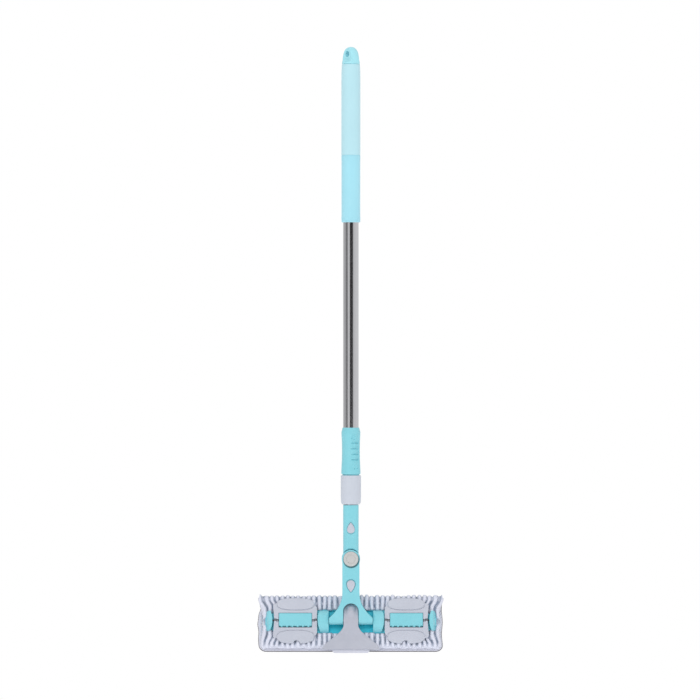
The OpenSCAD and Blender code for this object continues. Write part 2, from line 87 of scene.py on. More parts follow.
def mount_axis(name):
    return Vector(next(m for m in frame["record"]["mounts"] if m["name"] == name)["axis"])


ACROSS = Vector((1, 0, 0))
HINGE = joint_place("head_tilt")
KNOB = joint_place("neck_swivel")
UP = -mount_axis("sole_face")
BACK = UP.cross(ACROSS)
HANDLE_Y = HINGE.y


def on_head(points):
    """World points of an array of (across, back, up) measured from the head's hinge line."""
    return np.asarray(points, float) @ np.array([ACROSS, BACK, UP]) + np.array(HINGE)


def in_head(points):
    """The reverse of on_head."""
    return (np.asarray(points, float) - np.array(HINGE)) @ np.array([ACROSS, BACK, UP]).T


def head_box(node):
    """Lowest and highest corner of a node in the head's own directions."""
    p = in_head([v.co for v in frame["nodes"][node].data.vertices])
    return p.min(0), p.max(0)


def smooth_step(t):
    t = np.clip(t, 0, 1)
    return t * t * (3 - 2 * t)


# ---------- Colours ----------

def linear(red, green, blue):
    """A colour given in display values from 0 to 255, as the shader reads it."""
    def one(c):
        c /= 255
        return c / 12.92 if c <= 0.04045 else ((c + 0.055) / 1.055) ** 2.4
    return one(red), one(green), one(blue)


def colour_property(name, description, display):
    return bpy.props.FloatVectorProperty(
        name=name, description=description, subtype="COLOR", size=3, min=0, max=1, default=linear(*display))


def length_property(name, description, default):
    return bpy.props.FloatProperty(
        name=name, description=description, subtype="DISTANCE", unit="LENGTH", default=default)


class MopColours(bpy.types.PropertyGroup):
    turquoise: colour_property("Turquoise", "Moulded parts of the neck, head and collar", (124, 197, 209))
    # Painted shade: the colour that the base plate turns to down in its recesses, where shade falls.
    painted_recess_shade: colour_property("Recesses", "Dulled plastic down in the base plate", (44, 196, 218))
    cap: colour_property("Hanging cap", "Cap with the hanging eye", (160, 221, 232))
    grip_upper: colour_property("Upper grip", "Pale soft sleeve under the hanging cap", (179, 220, 230))
    grip_lower: colour_property("Lower grip", "Soft sleeve below the pale one", (158, 216, 231))
    grey: colour_property("Grey", "Clips and screw covers", (183, 186, 198))
    scraper: colour_property("Scraper", "The scraper's moulding", (172, 174, 186))
    knob: colour_property("Knob cap", "Cap over the neck's hinge bolt", (184, 184, 183))
    lock: colour_property("Lock nut", "The twist nut that clamps the pole", (190, 195, 206))
    rubber: colour_property("Scraper lip", "Soft lip on the scraper's edge", (196, 197, 209))
    steel: colour_property("Steel", "Polished tubes", (205, 205, 208))
    yarn: colour_property("Yarn", "Crests of the cloth's ropes", (212, 214, 228))
    # Partly the real grey-blue backing and partly painted shade: the colour that the gaps between the ropes take.
    yarn_gap_and_shade: colour_property("Rope gaps", "Grey-blue backing seen between the ropes", (118, 130, 152))
    tape: colour_property("Tape", "Hems and edge binding of the cloth", (205, 206, 218))
    foam: colour_property("Foam", "Foam layer between the deck and the pile", (226, 230, 236))


class ClothSettings(bpy.types.PropertyGroup):
    pitch: length_property("Rope pitch", "Distance between two ropes of the cloth", 9.5 * MM)
    step: length_property("Mesh step", "Distance between two columns of the cloth's mesh", 0.62 * MM)
    backing: length_property("Backing", "Thickness of the cloth between two ropes", 0.9 * MM)
    sway: length_property("Sway", "How far a rope wanders sideways", 0.55 * MM)


class StageSettings(bpy.types.PropertyGroup):
    framed_height: length_property("Framed height", "Height that the picture shows at the mop", 1.26)
    distance: length_property("Camera distance", "Distance from the camera to the handle's axis", 8.0)
    aside: length_property("Camera offset", "How far the camera stands to the mop's left", 1.6 * MM)
    floor: length_property("Floor", "Width of the pale floor", 9.0)
    key: bpy.props.FloatProperty(name="Key light", description="Strength of the main light", default=0.8)
    key_size: bpy.props.FloatProperty(
        name="Key softness", description="Angle that the main light covers", subtype="ANGLE",
        default=math.radians(28))


# ---------- Mesh building ----------

def new_piece(name, mesh):
    piece = bpy.data.objects.new(name, mesh)
    bpy.context.scene.collection.objects.link(piece)
    mesh.polygons.foreach_set("use_smooth", [True] * len(mesh.polygons))
    return piece


def from_points(name, points, faces):
    mesh = bpy.data.meshes.new(name)
    mesh.from_pydata([tuple(p) for p in points], [], faces)
    work = bmesh.new()
    work.from_mesh(mesh)
    bmesh.ops.remove_doubles(work, verts=work.verts, dist=0.002 * MM)
    bmesh.ops.recalc_face_normals(work, faces=work.faces)
    work.to_mesh(mesh)
    work.free()
    return new_piece(name, mesh)


def grid_faces(rows, columns, closed_rows=False, closed_columns=False, first=0):
    """Quads between neighbouring points of a grid that is stored row by row."""
    faces = []
    for i in range(rows if closed_rows else rows - 1):
        this_row = first + i * columns
        next_row = first + (i + 1) % rows * columns
        for j in range(columns if closed_columns else columns - 1):
            k = (j + 1) % columns
            faces.append((this_row + j, this_row + k, next_row + k, next_row + j))
    return faces


def tube_of_rings(rings, first=0):
    """Points and faces of a body made of closed rings, one after another, with a cap on each end."""
    rings = np.asarray(rings, float)
    count, size = rings.shape[:2]
    faces = grid_faces(count, size, closed_columns=True, first=first)
    faces.append(tuple(first + k for k in range(size - 1, -1, -1)))
    faces.append(tuple(first + (count - 1) * size + k for k in range(size)))
    return rings.reshape(-1, 3), faces


def eased(outline, radius, steps=4):
    """Closed outline of 2-D points with every corner that is off the axis eased by a short curve."""
    made = []
    for i, corner in enumerate(outline):
        p, a, b = Vector(corner), Vector(outline[i - 1]), Vector(outline[(i + 1) % len(outline)])
        reach = min(radius, (a - p).length * 0.45, (b - p).length * 0.45)
        if p.x == 0 or reach < 0.01 * MM:
            made.append(p)
            continue
        start, end = p + (a - p).normalized() * reach, p + (b - p).normalized() * reach
        for k in range(steps + 1):
            t = k / steps
            made.append(start * (1 - t) ** 2 + p * 2 * t * (1 - t) + end * t * t)
    return made


def divided(outline, longest):
    """The closed outline with extra points wherever a side is longer than asked."""
    made = []
    for i, p in enumerate(outline):
        q = outline[(i + 1) % len(outline)]
        count = max(1, math.ceil((Vector(q) - Vector(p)).length / longest))
        made += [Vector(p).lerp(Vector(q), k / count) for k in range(count)]
    return made


def revolved(name, outline, turns=96, relief=None):
    """Body turned about the handle's axis from a closed outline of (radius, height), with a relief on top."""
    angles = np.linspace(0, 2 * math.pi, turns, endpoint=False)
    rings = []
    for r, z in outline:
        radius = np.full(turns, r) + (relief(angles, r, z) if relief else 0)
        across, back = radius * np.sin(angles), HANDLE_Y - radius * np.cos(angles)
        rings.append(np.stack([across, back, np.full(turns, z)], -1))
    return ring_body(name, rings)


def ring_body(name, rings):
    """Piece made of closed rings whose last one joins the first."""
    points = np.array(rings)
    faces = grid_faces(points.shape[0], points.shape[1], closed_rows=True, closed_columns=True)
    return from_points(name, points.reshape(-1, 3), faces)


def moulded(name, node, grain, rounds, keep=0.45, shape=None):
    """Copy of a CAD node with its edges eased as a moulding has them. shape may move the points."""
    source = new_piece(name + "_source", frame["nodes"][node].data.copy())
    voxels = source.modifiers.new("Voxels", "REMESH")
    voxels.mode = "VOXEL"
    voxels.voxel_size = grain
    easing = source.modifiers.new("Easing", "SMOOTH")
    easing.factor = 0.5
    easing.iterations = rounds
    thinning = source.modifiers.new("Thinning", "DECIMATE")
    thinning.ratio = keep
    depsgraph = bpy.context.evaluated_depsgraph_get()
    mesh = bpy.data.meshes.new_from_object(source.evaluated_get(depsgraph))
    bpy.data.objects.remove(source)
    mesh.materials.clear()
    mesh.name = name
    if shape:
        points = np.zeros(len(mesh.vertices) * 3)
        mesh.vertices.foreach_get("co", points)
        mesh.vertices.foreach_set("co", shape(points.reshape(-1, 3)).ravel())
        mesh.update()
    return new_piece(name, mesh)


def settle(piece, body, material, slot, *nodes):
    """Gives a finished piece its material and its body, and hides the nodes that it stands for. The finish slot is
    not used.
    """
    piece.data.materials.clear()
    piece.data.materials.append(material)
    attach(piece, body)
    if nodes:
        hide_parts(*nodes)


def settle_moulding(name, node, body, finish, slot, **moulding):
    """Makes a moulded copy of the node and settles it in the node's place."""
    settle(moulded(name, node, **moulding), body, FINISHES[finish], slot, node)


# ---------- Shader groups ----------

def group_with(name, inputs, outputs):
    group = bpy.data.node_groups.new(name, "ShaderNodeTree")
    for label, value in inputs:
        socket = group.interface.new_socket(label, in_out="INPUT", socket_type="NodeSocketFloat")
        socket.default_value = value
    for label in outputs:
        group.interface.new_socket(label, in_out="OUTPUT", socket_type="NodeSocketFloat")
    return group, group.nodes.new("NodeGroupInput"), group.nodes.new("NodeGroupOutput")


def feed(tree, socket, value):
    """Links another node's output to a socket, or gives the socket a plain value."""
    if isinstance(value, bpy.types.NodeSocket):
        tree.links.new(value, socket)
    else:
        socket.default_value = value


def object_place(tree):
    return tree.nodes.new("ShaderNodeTexCoord").outputs["Object"]


def stretched_place(tree, scale, rotation=(0, 0, 0)):
    mapping = tree.nodes.new("ShaderNodeMapping")
    mapping.inputs["Scale"].default_value = scale
    mapping.inputs["Rotation"].default_value = rotation
    tree.links.new(object_place(tree), mapping.inputs["Vector"])
    return mapping.outputs["Vector"]


def noise_in(tree, scale, detail, roughness, place=None):
    noise = tree.nodes.new("ShaderNodeTexNoise")
    noise.inputs["Detail"].default_value = detail
    noise.inputs["Roughness"].default_value = roughness
    tree.links.new(object_place(tree) if place is None else place, noise.inputs["Vector"])
    feed(tree, noise.inputs["Scale"], scale)
    return noise.outputs["Fac"]


def math_in(tree, operation, first, second, clamp=False):
    node = tree.nodes.new("ShaderNodeMath")
    node.operation = operation
    node.use_clamp = clamp
    feed(tree, node.inputs[0], first)
    feed(tree, node.inputs[1], second)
    return node.outputs[0]


def vector_in(tree, operation, first, second):
    node = tree.nodes.new("ShaderNodeVectorMath")
    node.operation = operation
    feed(tree, node.inputs[0], first)
    feed(tree, node.inputs[1], second)
    return node


def share_in(tree, value, start, end):
    """From 0 where the value is at start to 1 where it is at end."""
    share = tree.nodes.new("ShaderNodeMapRange")
    share.inputs["From Min"].default_value = start
    share.inputs["From Max"].default_value = end
    tree.links.new(value, share.inputs["Value"])
    return share.outputs["Result"]


def blend_colours(tree, factor, first, second):
    """Colour that runs from the first to the second, each a plain colour or another node's output."""
    mix = tree.nodes.new("ShaderNodeMix")
    mix.data_type = "RGBA"
    for label, value in (("A", first), ("B", second)):
        feed(tree, mix.inputs[label], value if isinstance(value, bpy.types.NodeSocket) else (*value, 1))
    tree.links.new(factor, mix.inputs["Factor"])
    return mix.outputs["Result"]


def mould_grain_group():
    """Fine orange-peel skin of moulded plastic, and a slow drift of its shade."""
    group, given, made = group_with("Mould grain", [("Scale", 900), ("Drift scale", 14)], ["Height", "Shade"])
    fine = noise_in(group, given.outputs["Scale"], 3, 0.55)
    drift = noise_in(group, given.outputs["Drift scale"], 2, 0.5)
    group.links.new(fine, made.inputs["Height"])
    group.links.new(drift, made.inputs["Shade"])
    return group


def handling_wear_group():
    """Patches and fine scratches where hands and floors have dulled a surface."""
    group, given, made = group_with("Handling wear", [("Scale", 30), ("Amount", 0.2)], ["Mask", "Dulling"])
    patches = noise_in(group, given.outputs["Scale"], 4, 0.6)
    finer = math_in(group, "MULTIPLY", given.outputs["Scale"], 6)
    scratches = noise_in(group, finer, 2, 0.7, stretched_place(group, (8, 8, 1), (0.2, 0.5, 0.1)))
    both = math_in(group, "MULTIPLY", patches, scratches)
    mask = math_in(group, "MULTIPLY", math_in(group, "SUBTRACT", both, 0.24, clamp=True), 4, clamp=True)
    group.links.new(math_in(group, "MULTIPLY", mask, given.outputs["Amount"]), made.inputs["Mask"])
    group.links.new(math_in(group, "MULTIPLY", patches, given.outputs["Amount"]), made.inputs["Dulling"])
    return group


def fibre_nap_group():
    """Short nap of fibres, for pile, tape and foam."""
    group, given, made = group_with("Fibre nap", [("Scale", 1400), ("Clump scale", 260)], ["Height", "Shade"])
    fibres = noise_in(group, given.outputs["Scale"], 4, 0.7)
    clumps = noise_in(group, given.outputs["Clump scale"], 3, 0.6)
    height = math_in(group, "ADD", math_in(group, "MULTIPLY", fibres, 0.5), clumps)
    group.links.new(height, made.inputs["Height"])
    group.links.new(clumps, made.inputs["Shade"])
    return group


# ---------- Materials ----------

def start_material(name, roughness, metallic=0.0):
    material = bpy.data.materials.new(name)
    material.use_nodes = True
    tree = material.node_tree
    shader = tree.nodes["Principled BSDF"]
    shader.inputs["Roughness"].default_value = roughness
    shader.inputs["Metallic"].default_value = metallic
    return material, tree, shader


def place_group(tree, group, **values):
    node = tree.nodes.new("ShaderNodeGroup")
    node.node_tree = group
    for label, value in values.items():
        node.inputs[label.replace("_", " ")].default_value = value
    return node


def add_bump(tree, shader, height, strength, distance):
    bump = tree.nodes.new("ShaderNodeBump")
    bump.inputs["Strength"].default_value = strength
    bump.inputs["Distance"].default_value = distance
    tree.links.new(height, bump.inputs["Height"])
    tree.links.new(bump.outputs["Normal"], shader.inputs["Normal"])


def scaled(colour, factor):
    return tuple(min(1.0, c * factor) for c in colour)


def plastic(name, colour, roughness, grain=900, bump=0.12, wear=0.25, spread=0.06):
    """Moulded plastic: drifting shade, orange-peel skin and a little handling wear."""
    material, tree, shader = start_material(name, roughness)
    skin = place_group(tree, GROUPS["grain"], Scale=grain)
    wear_node = place_group(tree, GROUPS["wear"], Amount=wear)
    drift = blend_colours(tree, skin.outputs["Shade"], scaled(colour, 1 - spread), scaled(colour, 1 + spread))
    chalky = tuple(c + (1 - c) * 0.25 for c in colour)
    worn = blend_colours(tree, wear_node.outputs["Mask"], drift, chalky)
    tree.links.new(worn, shader.inputs["Base Color"])
    duller = math_in(tree, "ADD", math_in(tree, "MULTIPLY", wear_node.outputs["Dulling"], 0.5), roughness)
    tree.links.new(duller, shader.inputs["Roughness"])
    add_bump(tree, shader, skin.outputs["Height"], bump, 0.1 * MM)
    return material


def paint_shade(tree, measure, nearest, furthest, shade_colour):
    """Paints shade into the base colour: it runs from a shade colour, where the measure is smallest, to the
    plastic's own.
    """
    base = tree.nodes["Principled BSDF"].inputs["Base Color"]
    share = share_in(tree, measure, nearest, furthest)
    tree.links.new(blend_colours(tree, share, shade_colour, base.links[0].from_socket), base)


def plastic_with_painted_recess_shade(name, colour, shade_colour):
    """Plastic with painted shade: its colour turns duller and darker down in the head's recesses, where shade
    falls.
    """
    material = plastic(name, colour, 0.3)
    tree = material.node_tree
    height = vector_in(tree, "DOT_PRODUCT", object_place(tree), UP)
    hinge_height = UP.dot(HINGE)
    # Painted shade: the colour darkens from 4 mm below the hinge line to full shade at 12.5 mm below it.
    paint_shade(tree, height.outputs["Value"], hinge_height - 12.5 * MM, hinge_height - 4 * MM, shade_colour)
    return material


def plastic_with_painted_groove_shade(name, colour, shade_colour):
    """Plastic with painted shade in the groove round the knob cap, most of it low and to the right."""
    material = plastic(name, colour, 0.26)
    tree = material.node_tree
    flat = vector_in(tree, "MULTIPLY", object_place(tree), (1, 0, 1))
    middle = (KNOB.x + 0.7 * MM, 0, KNOB.z - 1.9 * MM)
    spread = vector_in(tree, "DISTANCE", flat.outputs["Vector"], middle)
    # Painted shade: full shade colour within 13.9 mm of a point just below and right of the knob's centre, fading
    # out by 15.3 mm.
    paint_shade(tree, spread.outputs["Value"], 13.9 * MM, 15.3 * MM, shade_colour)
    return material


def soft_sleeve(name, colour):
    """Soft grip skin: matt, with a fine leathery grain and a faint sheen."""
    material = plastic(name, colour, 0.42, grain=1500, bump=0.3, wear=0.15, spread=0.04)
    shader = material.node_tree.nodes["Principled BSDF"]
    shader.inputs["Sheen Weight"].default_value = 0.15
    shader.inputs["Sheen Roughness"].default_value = 0.5
    return material


def polished_steel(name, colour, roughness, across=1200):
    """Drawn and polished tube: faint lines along its length."""
    material, tree, shader = start_material(name, roughness, 1.0)
    lines = noise_in(tree, across, 3, 0.6, stretched_place(tree, (1, 1, 0.01)))
    wear = place_group(tree, GROUPS["wear"], Scale=22, Amount=0.3)
    shade = blend_colours(tree, lines, scaled(colour, 0.9), scaled(colour, 1.08))
    tree.links.new(shade, shader.inputs["Base Color"])
    rough = math_in(tree, "ADD", math_in(tree, "MULTIPLY", lines, 0.06), roughness)
    worn = math_in(tree, "ADD", rough, math_in(tree, "MULTIPLY", wear.outputs["Mask"], 0.2))
    tree.links.new(worn, shader.inputs["Roughness"])
    add_bump(tree, shader, lines, 0.04, 0.05 * MM)
    return material


def fibre(name, colour, shadow, roughness=0.9, scale=1400, clumps=260, bump=0.7, crested=False):
    """Fabric or foam with a nap; between its ropes a crested one turns to the gap colour, which is grey-blue
    backing, partly real and partly painted shade.
    """
    material, tree, shader = start_material(name, roughness)
    nap = place_group(tree, GROUPS["nap"], Scale=scale, Clump_scale=clumps)
    top = blend_colours(tree, nap.outputs["Shade"], scaled(colour, 0.9), scaled(colour, 1.06))
    if crested:
        # Painted shade, partly real colour: where the crest value is low, between the ropes, the colour turns to
        # the darker gap colour.
        crest = tree.nodes.new("ShaderNodeAttribute")
        crest.attribute_name = "crest"
        patches = noise_in(tree, 110, 2, 0.6)
        gap = blend_colours(tree, patches, scaled(shadow, 0.35), scaled(shadow, 1.5))
        rough_edge = math_in(tree, "MULTIPLY", math_in(tree, "SUBTRACT", nap.outputs["Shade"], 0.5), 0.5)
        share = share_in(tree, math_in(tree, "ADD", crest.outputs["Fac"], rough_edge), 0.0, 0.8)
        top = blend_colours(tree, share, gap, top)
    tree.links.new(top, shader.inputs["Base Color"])
    shader.inputs["Sheen Weight"].default_value = 0.3
    shader.inputs["Sheen Roughness"].default_value = 0.6
    add_bump(tree, shader, nap.outputs["Height"], bump, 0.5 * MM)
    return material


GROUPS = {}
FINISHES = {}


class MOP_OT_finishes(bpy.types.Operator):
    """Make the shader groups and every material of the mop"""

    bl_idname = "mop.finishes"
    bl_label = "Finishes"

    def execute(self, context):
        colours = context.scene.mop_colours
        GROUPS.update(grain=mould_grain_group(), wear=handling_wear_group(), nap=fibre_nap_group())
        turquoise, grey = tuple(colours.turquoise), tuple(colours.grey)
        steel, tape = tuple(colours.steel), tuple(colours.tape)
        FINISHES.update(
            turquoise=plastic("Turquoise plastic", turquoise, 0.3),
            cap=plastic("Cap plastic", tuple(colours.cap), 0.2, wear=0.15),
            # The yoke's painted groove shade is the turquoise at 0.42 of its brightness.
            yoke=plastic_with_painted_groove_shade("Yoke plastic", turquoise, scaled(turquoise, 0.42)),
            base=plastic_with_painted_recess_shade("Base plastic", turquoise, tuple(colours.painted_recess_shade)),
            sleeve_upper=soft_sleeve("Upper grip skin", tuple(colours.grip_upper)),
            sleeve_lower=soft_sleeve("Lower grip skin", tuple(colours.grip_lower)),
            grey=plastic("Grey plastic", grey, 0.32, wear=0.35, spread=0.05),
            scraper=plastic("Scraper plastic", tuple(colours.scraper), 0.34, wear=0.4, spread=0.05),
            knob=plastic("Knob plastic", tuple(colours.knob), 0.38, spread=0.04),
            lock=plastic("Lock nut plastic", tuple(colours.lock), 0.4, spread=0.03),
            rubber=plastic("Grey rubber", tuple(colours.rubber), 0.55, grain=1600, bump=0.25),
            nylon=plastic("White nylon", linear(232, 234, 236), 0.45, grain=1200),
            tube=polished_steel("Polished tube", steel, 0.1),
            zinc=polished_steel("Zinc-plated steel", scaled(steel, 0.8), 0.28, across=2200),
            pin=polished_steel("Dark pin steel", scaled(steel, 0.1), 0.4, across=2200),
            yarn=fibre("Microfibre ropes", tuple(colours.yarn), tuple(colours.yarn_gap_and_shade), crested=True),
            tape=fibre("Binding tape", tape, scaled(tape, 0.8), 0.8, 2200, 900, 0.35),
            foam=fibre("Foam", tuple(colours.foam), scaled(tuple(colours.foam), 0.8), 0.85, 1800, 700, 0.5),
            # Dark overlock thread, partly real and partly painted shade under the hem.
            overlock=fibre("Overlock yarn and painted shade", linear(104, 101, 108), linear(80, 80, 90), 0.85, 2000, 900, 0.5),
        )
        return {"FINISHED"}


# ---------- Stage ----------

def soft_sun(name, place, strength, angle):
    """Broad even light from the side of place; shiny surfaces see the studio panels instead of it."""
    data = bpy.data.lights.new(name, "SUN")
    data.energy = strength
    data.angle = angle
    lamp = bpy.data.objects.new(name, data)
    lamp.location = place
    lamp.rotation_euler = (-Vector(place)).to_track_quat("-Z", "Y").to_euler()
    lamp.visible_glossy = False
    bpy.context.scene.collection.objects.link(lamp)


# What a shiny surface sees of the studio: the angle round the mop from its front, in degrees, and how bright.
STUDIO_PANELS = (
    (-180, 0.85), (-120, 0.62), (-84, 0.5), (-74, 0.24), (-52, 0.22), (-44, 0.7), (-20, 0.8), (-14, 0.05),
    (26, 0.03), (38, 0.7), (90, 0.85), (180, 0.85),
)
WHITE = (1, 1, 1)
KEY_PLACE = (-0.35, -2.4, 1.9)


def studio_world():
    """White surround. Shiny surfaces see bright and dark studio panels that stand round the mop."""
    world = bpy.data.worlds.new("Studio")
    bpy.context.scene.world = world
    world.use_nodes = True
    tree = world.node_tree
    tree.nodes.clear()
    parts = tree.nodes.new("ShaderNodeSeparateXYZ")
    tree.links.new(tree.nodes.new("ShaderNodeTexCoord").outputs["Generated"], parts.inputs["Vector"])
    turn = math_in(tree, "ARCTAN2", parts.outputs["X"], math_in(tree, "MULTIPLY", parts.outputs["Y"], -1))
    share = math_in(tree, "ADD", math_in(tree, "DIVIDE", turn, 2 * math.pi), 0.5)
    panels = tree.nodes.new("ShaderNodeValToRGB")
    ramp = panels.color_ramp
    while len(ramp.elements) < len(STUDIO_PANELS):
        ramp.elements.new(0.5)
    for element, (angle, level) in zip(ramp.elements, STUDIO_PANELS):
        element.position = angle / 360 + 0.5
        element.color = (level, level, level, 1)
    tree.links.new(share, panels.inputs["Fac"])
    overhead = share_in(tree, parts.outputs["Z"], 0.35, 0.75)
    shiny = blend_colours(tree, overhead, panels.outputs["Color"], WHITE)
    from_above = math_in(tree, "ADD", math_in(tree, "MULTIPLY", parts.outputs["Z"], 0.35), 0.5)
    from_front = math_in(tree, "MULTIPLY", parts.outputs["Y"], -0.3)
    brightness = math_in(tree, "ADD", from_front, from_above, clamp=True)
    soft = blend_colours(tree, brightness, (0.34, 0.37, 0.42), (0.92, 0.92, 0.91))
    path = tree.nodes.new("ShaderNodeLightPath")
    lit = blend_colours(tree, path.outputs["Is Glossy Ray"], soft, shiny)
    background = tree.nodes.new("ShaderNodeBackground")
    tree.links.new(blend_colours(tree, path.outputs["Is Camera Ray"], lit, WHITE), background.inputs["Color"])
    output = tree.nodes.new("ShaderNodeOutputWorld")
    tree.links.new(background.outputs["Background"], output.inputs["Surface"])


def pale_floor():
    """White on white: it lights the mop, and hides nothing of it when the pole slides or the head swings."""
    material, tree, shader = start_material("Pale floor", 0.9)
    shader.inputs["Specular IOR Level"].default_value = 0.1
    shader.inputs["Emission Color"].default_value = (*WHITE, 1)
    shader.inputs["Emission Strength"].default_value = 0.32
    drift = blend_colours(tree, noise_in(tree, 3.0, 2, 0.5), (0.95, 0.95, 0.95), (0.97, 0.97, 0.97))
    tree.links.new(drift, shader.inputs["Base Color"])
    path = tree.nodes.new("ShaderNodeLightPath")
    clear = tree.nodes.new("ShaderNodeBsdfTransparent")
    either = tree.nodes.new("ShaderNodeMixShader")
    passing = math_in(tree, "MAXIMUM", path.outputs["Is Camera Ray"], path.outputs["Is Shadow Ray"])
    tree.links.new(passing, either.inputs["Fac"])
    tree.links.new(shader.outputs["BSDF"], either.inputs[1])
    tree.links.new(clear.outputs["BSDF"], either.inputs[2])
    tree.links.new(either.outputs["Shader"], tree.nodes["Material Output"].inputs["Surface"])
    return material


class MOP_OT_stage(bpy.types.Operator):
    """Set up the camera, the pale floor and the soft studio light"""

    bl_idname = "mop.stage"
    bl_label = "Stage"

    def execute(self, context):
        settings = context.scene.mop_stage
        low, high = CAD_BOX
        middle = (low.z + high.z) / 2
        data = bpy.data.cameras.new("Camera")
        data.sensor_width = 36
        data.lens = data.sensor_width * settings.distance / settings.framed_height
        data.clip_end = 100
        camera = bpy.data.objects.new("Camera", data)
        camera.location = (-settings.aside, HANDLE_Y - settings.distance, middle - 0.5 * MM)
        camera.rotation_euler = (math.pi / 2, 0, 0)
        context.scene.collection.objects.link(camera)
        context.scene.camera = camera
        context.scene.view_settings.view_transform = "Standard"

        corners = [(-1, -1), (1, -1), (1, 1), (-1, 1)]
        places = [(x * settings.floor / 2, y * settings.floor / 2, 0) for x, y in corners]
        floor = from_points("floor", places, [(0, 1, 2, 3)])
        floor.data.materials.append(pale_floor())

        studio_world()
        soft_sun("Key", KEY_PLACE, settings.key, settings.key_size)
        return {"FINISHED"}


# ---------- Handle ----------

def dotted_band(middle, rows, columns, rise, size):
    """Relief of small round dots in staggered rows round the grip."""
    spacing = 2.2 * MM

    def relief(angles, radius, height):
        made = np.zeros(len(angles))
        for row in range(rows):
            level = middle + (row - (rows - 1) / 2) * spacing
            if abs(height - level) > size:
                continue
            turn = 2 * math.pi / columns
            along = ((angles + (row % 2) * turn / 2) % turn - turn / 2) * radius
            left = 1 - (along ** 2 + (height - level) ** 2) / size ** 2
            made = np.maximum(made, rise * np.sqrt(np.clip(left, 0, 1)))
        return made
    return relief


def undercut_at(seam):
    """Draws a cap in just above its seam with the grip, for a shadow line."""
    def shape(points):
        near = np.clip(1 - (points[:, 2] - seam) / (1.6 * MM), 0, 1) * (points[:, 2] > seam - 0.4 * MM)
        points[:, 0] *= 1 - 0.07 * near
        points[:, 1] = HANDLE_Y + (points[:, 1] - HANDLE_Y) * (1 - 0.07 * near)
        return points
    return shape


def radius_of(node):
    low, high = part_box(node)
    return (high.x - low.x) / 2


def steel_tube(name, node, body, turns):
    """Thin polished tube with eased rims."""
    low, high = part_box(node)
    r = radius_of(node)
    bore = r - 0.6 * MM
    outline = eased([(bore, low.z), (r, low.z), (r, high.z), (bore, high.z)], 0.2 * MM)
    settle(revolved(name, divided(outline, 30 * MM), turns), body, FINISHES["tube"], "polished_tube", node)


def grip_neck():
    """Radius of the lower sleeve where it runs on under the upper one."""
    return radius_of("grip_sleeve") - 1.25 * MM


def lower_sleeve():
    """Turquoise sleeve with a lip at its foot and a band of dots near each end."""
    low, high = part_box("grip_sleeve")
    r = radius_of("grip_sleeve")
    bore = radius_of("outer_tube") + 0.05 * MM
    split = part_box("grip_overlay")[0].z - 0.1 * MM
    lip = r + 0.05 * MM
    outline = [(bore, low.z), (r - 1.2 * MM, low.z), (lip, low.z + 1.2 * MM), (lip, low.z + 2.0 * MM),
               (r - 0.25 * MM, low.z + 2.3 * MM), (r, low.z + 2.6 * MM), (r, split - 0.6 * MM),
               (r - 0.35 * MM, split), (grip_neck(), split), (grip_neck(), high.z), (bore, high.z)]
    middles = (low.z + 5.5 * MM, split - 5 * MM)
    bands = [dotted_band(z, rows=4, columns=60, rise=0.32 * MM, size=0.75 * MM) for z in middles]

    def dots(angles, radius, height):
        if radius < r - 0.1 * MM:
            return 0
        return sum(band(angles, radius, height) for band in bands)

    rows = [tuple(p) for p in divided(eased(outline, 0.4 * MM), 6 * MM)]
    fine = []
    for i, p in enumerate(rows):
        q = rows[(i + 1) % len(rows)]
        fine.append(p)
        on_skin = max(abs(p[0] - r), abs(q[0] - r)) < 0.01 * MM
        if on_skin and min(abs(p[1] - z) for z in middles) < 9 * MM:
            count = math.ceil(abs(q[1] - p[1]) / (0.3 * MM))
            fine += [(r, p[1] + (q[1] - p[1]) * k / count) for k in range(1, count)]
    piece = revolved("grip_lower_sleeve", fine, 360, dots)
    settle(piece, "handle", FINISHES["sleeve_lower"], "soft_grip", "grip_sleeve")


def upper_sleeve():
    """Paler sleeve that narrows a little towards the cap."""
    low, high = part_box("grip_overlay")
    r = radius_of("grip_overlay")
    bore = grip_neck() + 0.05 * MM
    outline = [(bore, low.z), (r - 0.4 * MM, low.z), (r, low.z + 0.5 * MM), (r, high.z - 30 * MM),
               (r - 0.2 * MM, high.z - 14 * MM), (r - 0.85 * MM, high.z - 0.3 * MM),
               (r - 1.1 * MM, high.z), (bore, high.z)]
    piece = revolved("grip_upper_sleeve", divided(eased(outline, 0.5 * MM), 5 * MM), 160)
    settle(piece, "handle", FINISHES["sleeve_upper"], "soft_grip", "grip_overlay")


class MOP_OT_handle(bpy.types.Operator):
    """Build the hanging cap, the two grip sleeves and the outer steel tube"""

    bl_idname = "mop.handle"
    bl_label = "Handle"

    def execute(self, context):
        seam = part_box("grip_sleeve")[1].z + 5.1 * MM
        settle_moulding("hanging_cap_moulding", "hanging_cap", "handle", "cap", "turquoise_plastic",
                        grain=0.42 * MM, rounds=4, shape=undercut_at(seam))
        lower_sleeve()
        upper_sleeve()
        steel_tube("outer_steel_tube", "outer_tube", "handle", 160)
        return {"FINISHED"}


# ---------- Lock ----------

# Start and end of each thumb line on the collar: distance round it and height on it, in millimetres.
THUMB_LINES = (
    ((2, 28), (16, 28)), ((2, 38), (17, 38)), ((1, 48), (17, 48)), ((2, 58), (16, 58)),
    ((2, 67), (8, 74)), ((6, 65), (14, 76)), ((2, 20), (7, 12)), ((7, 21), (13, 13)),
)


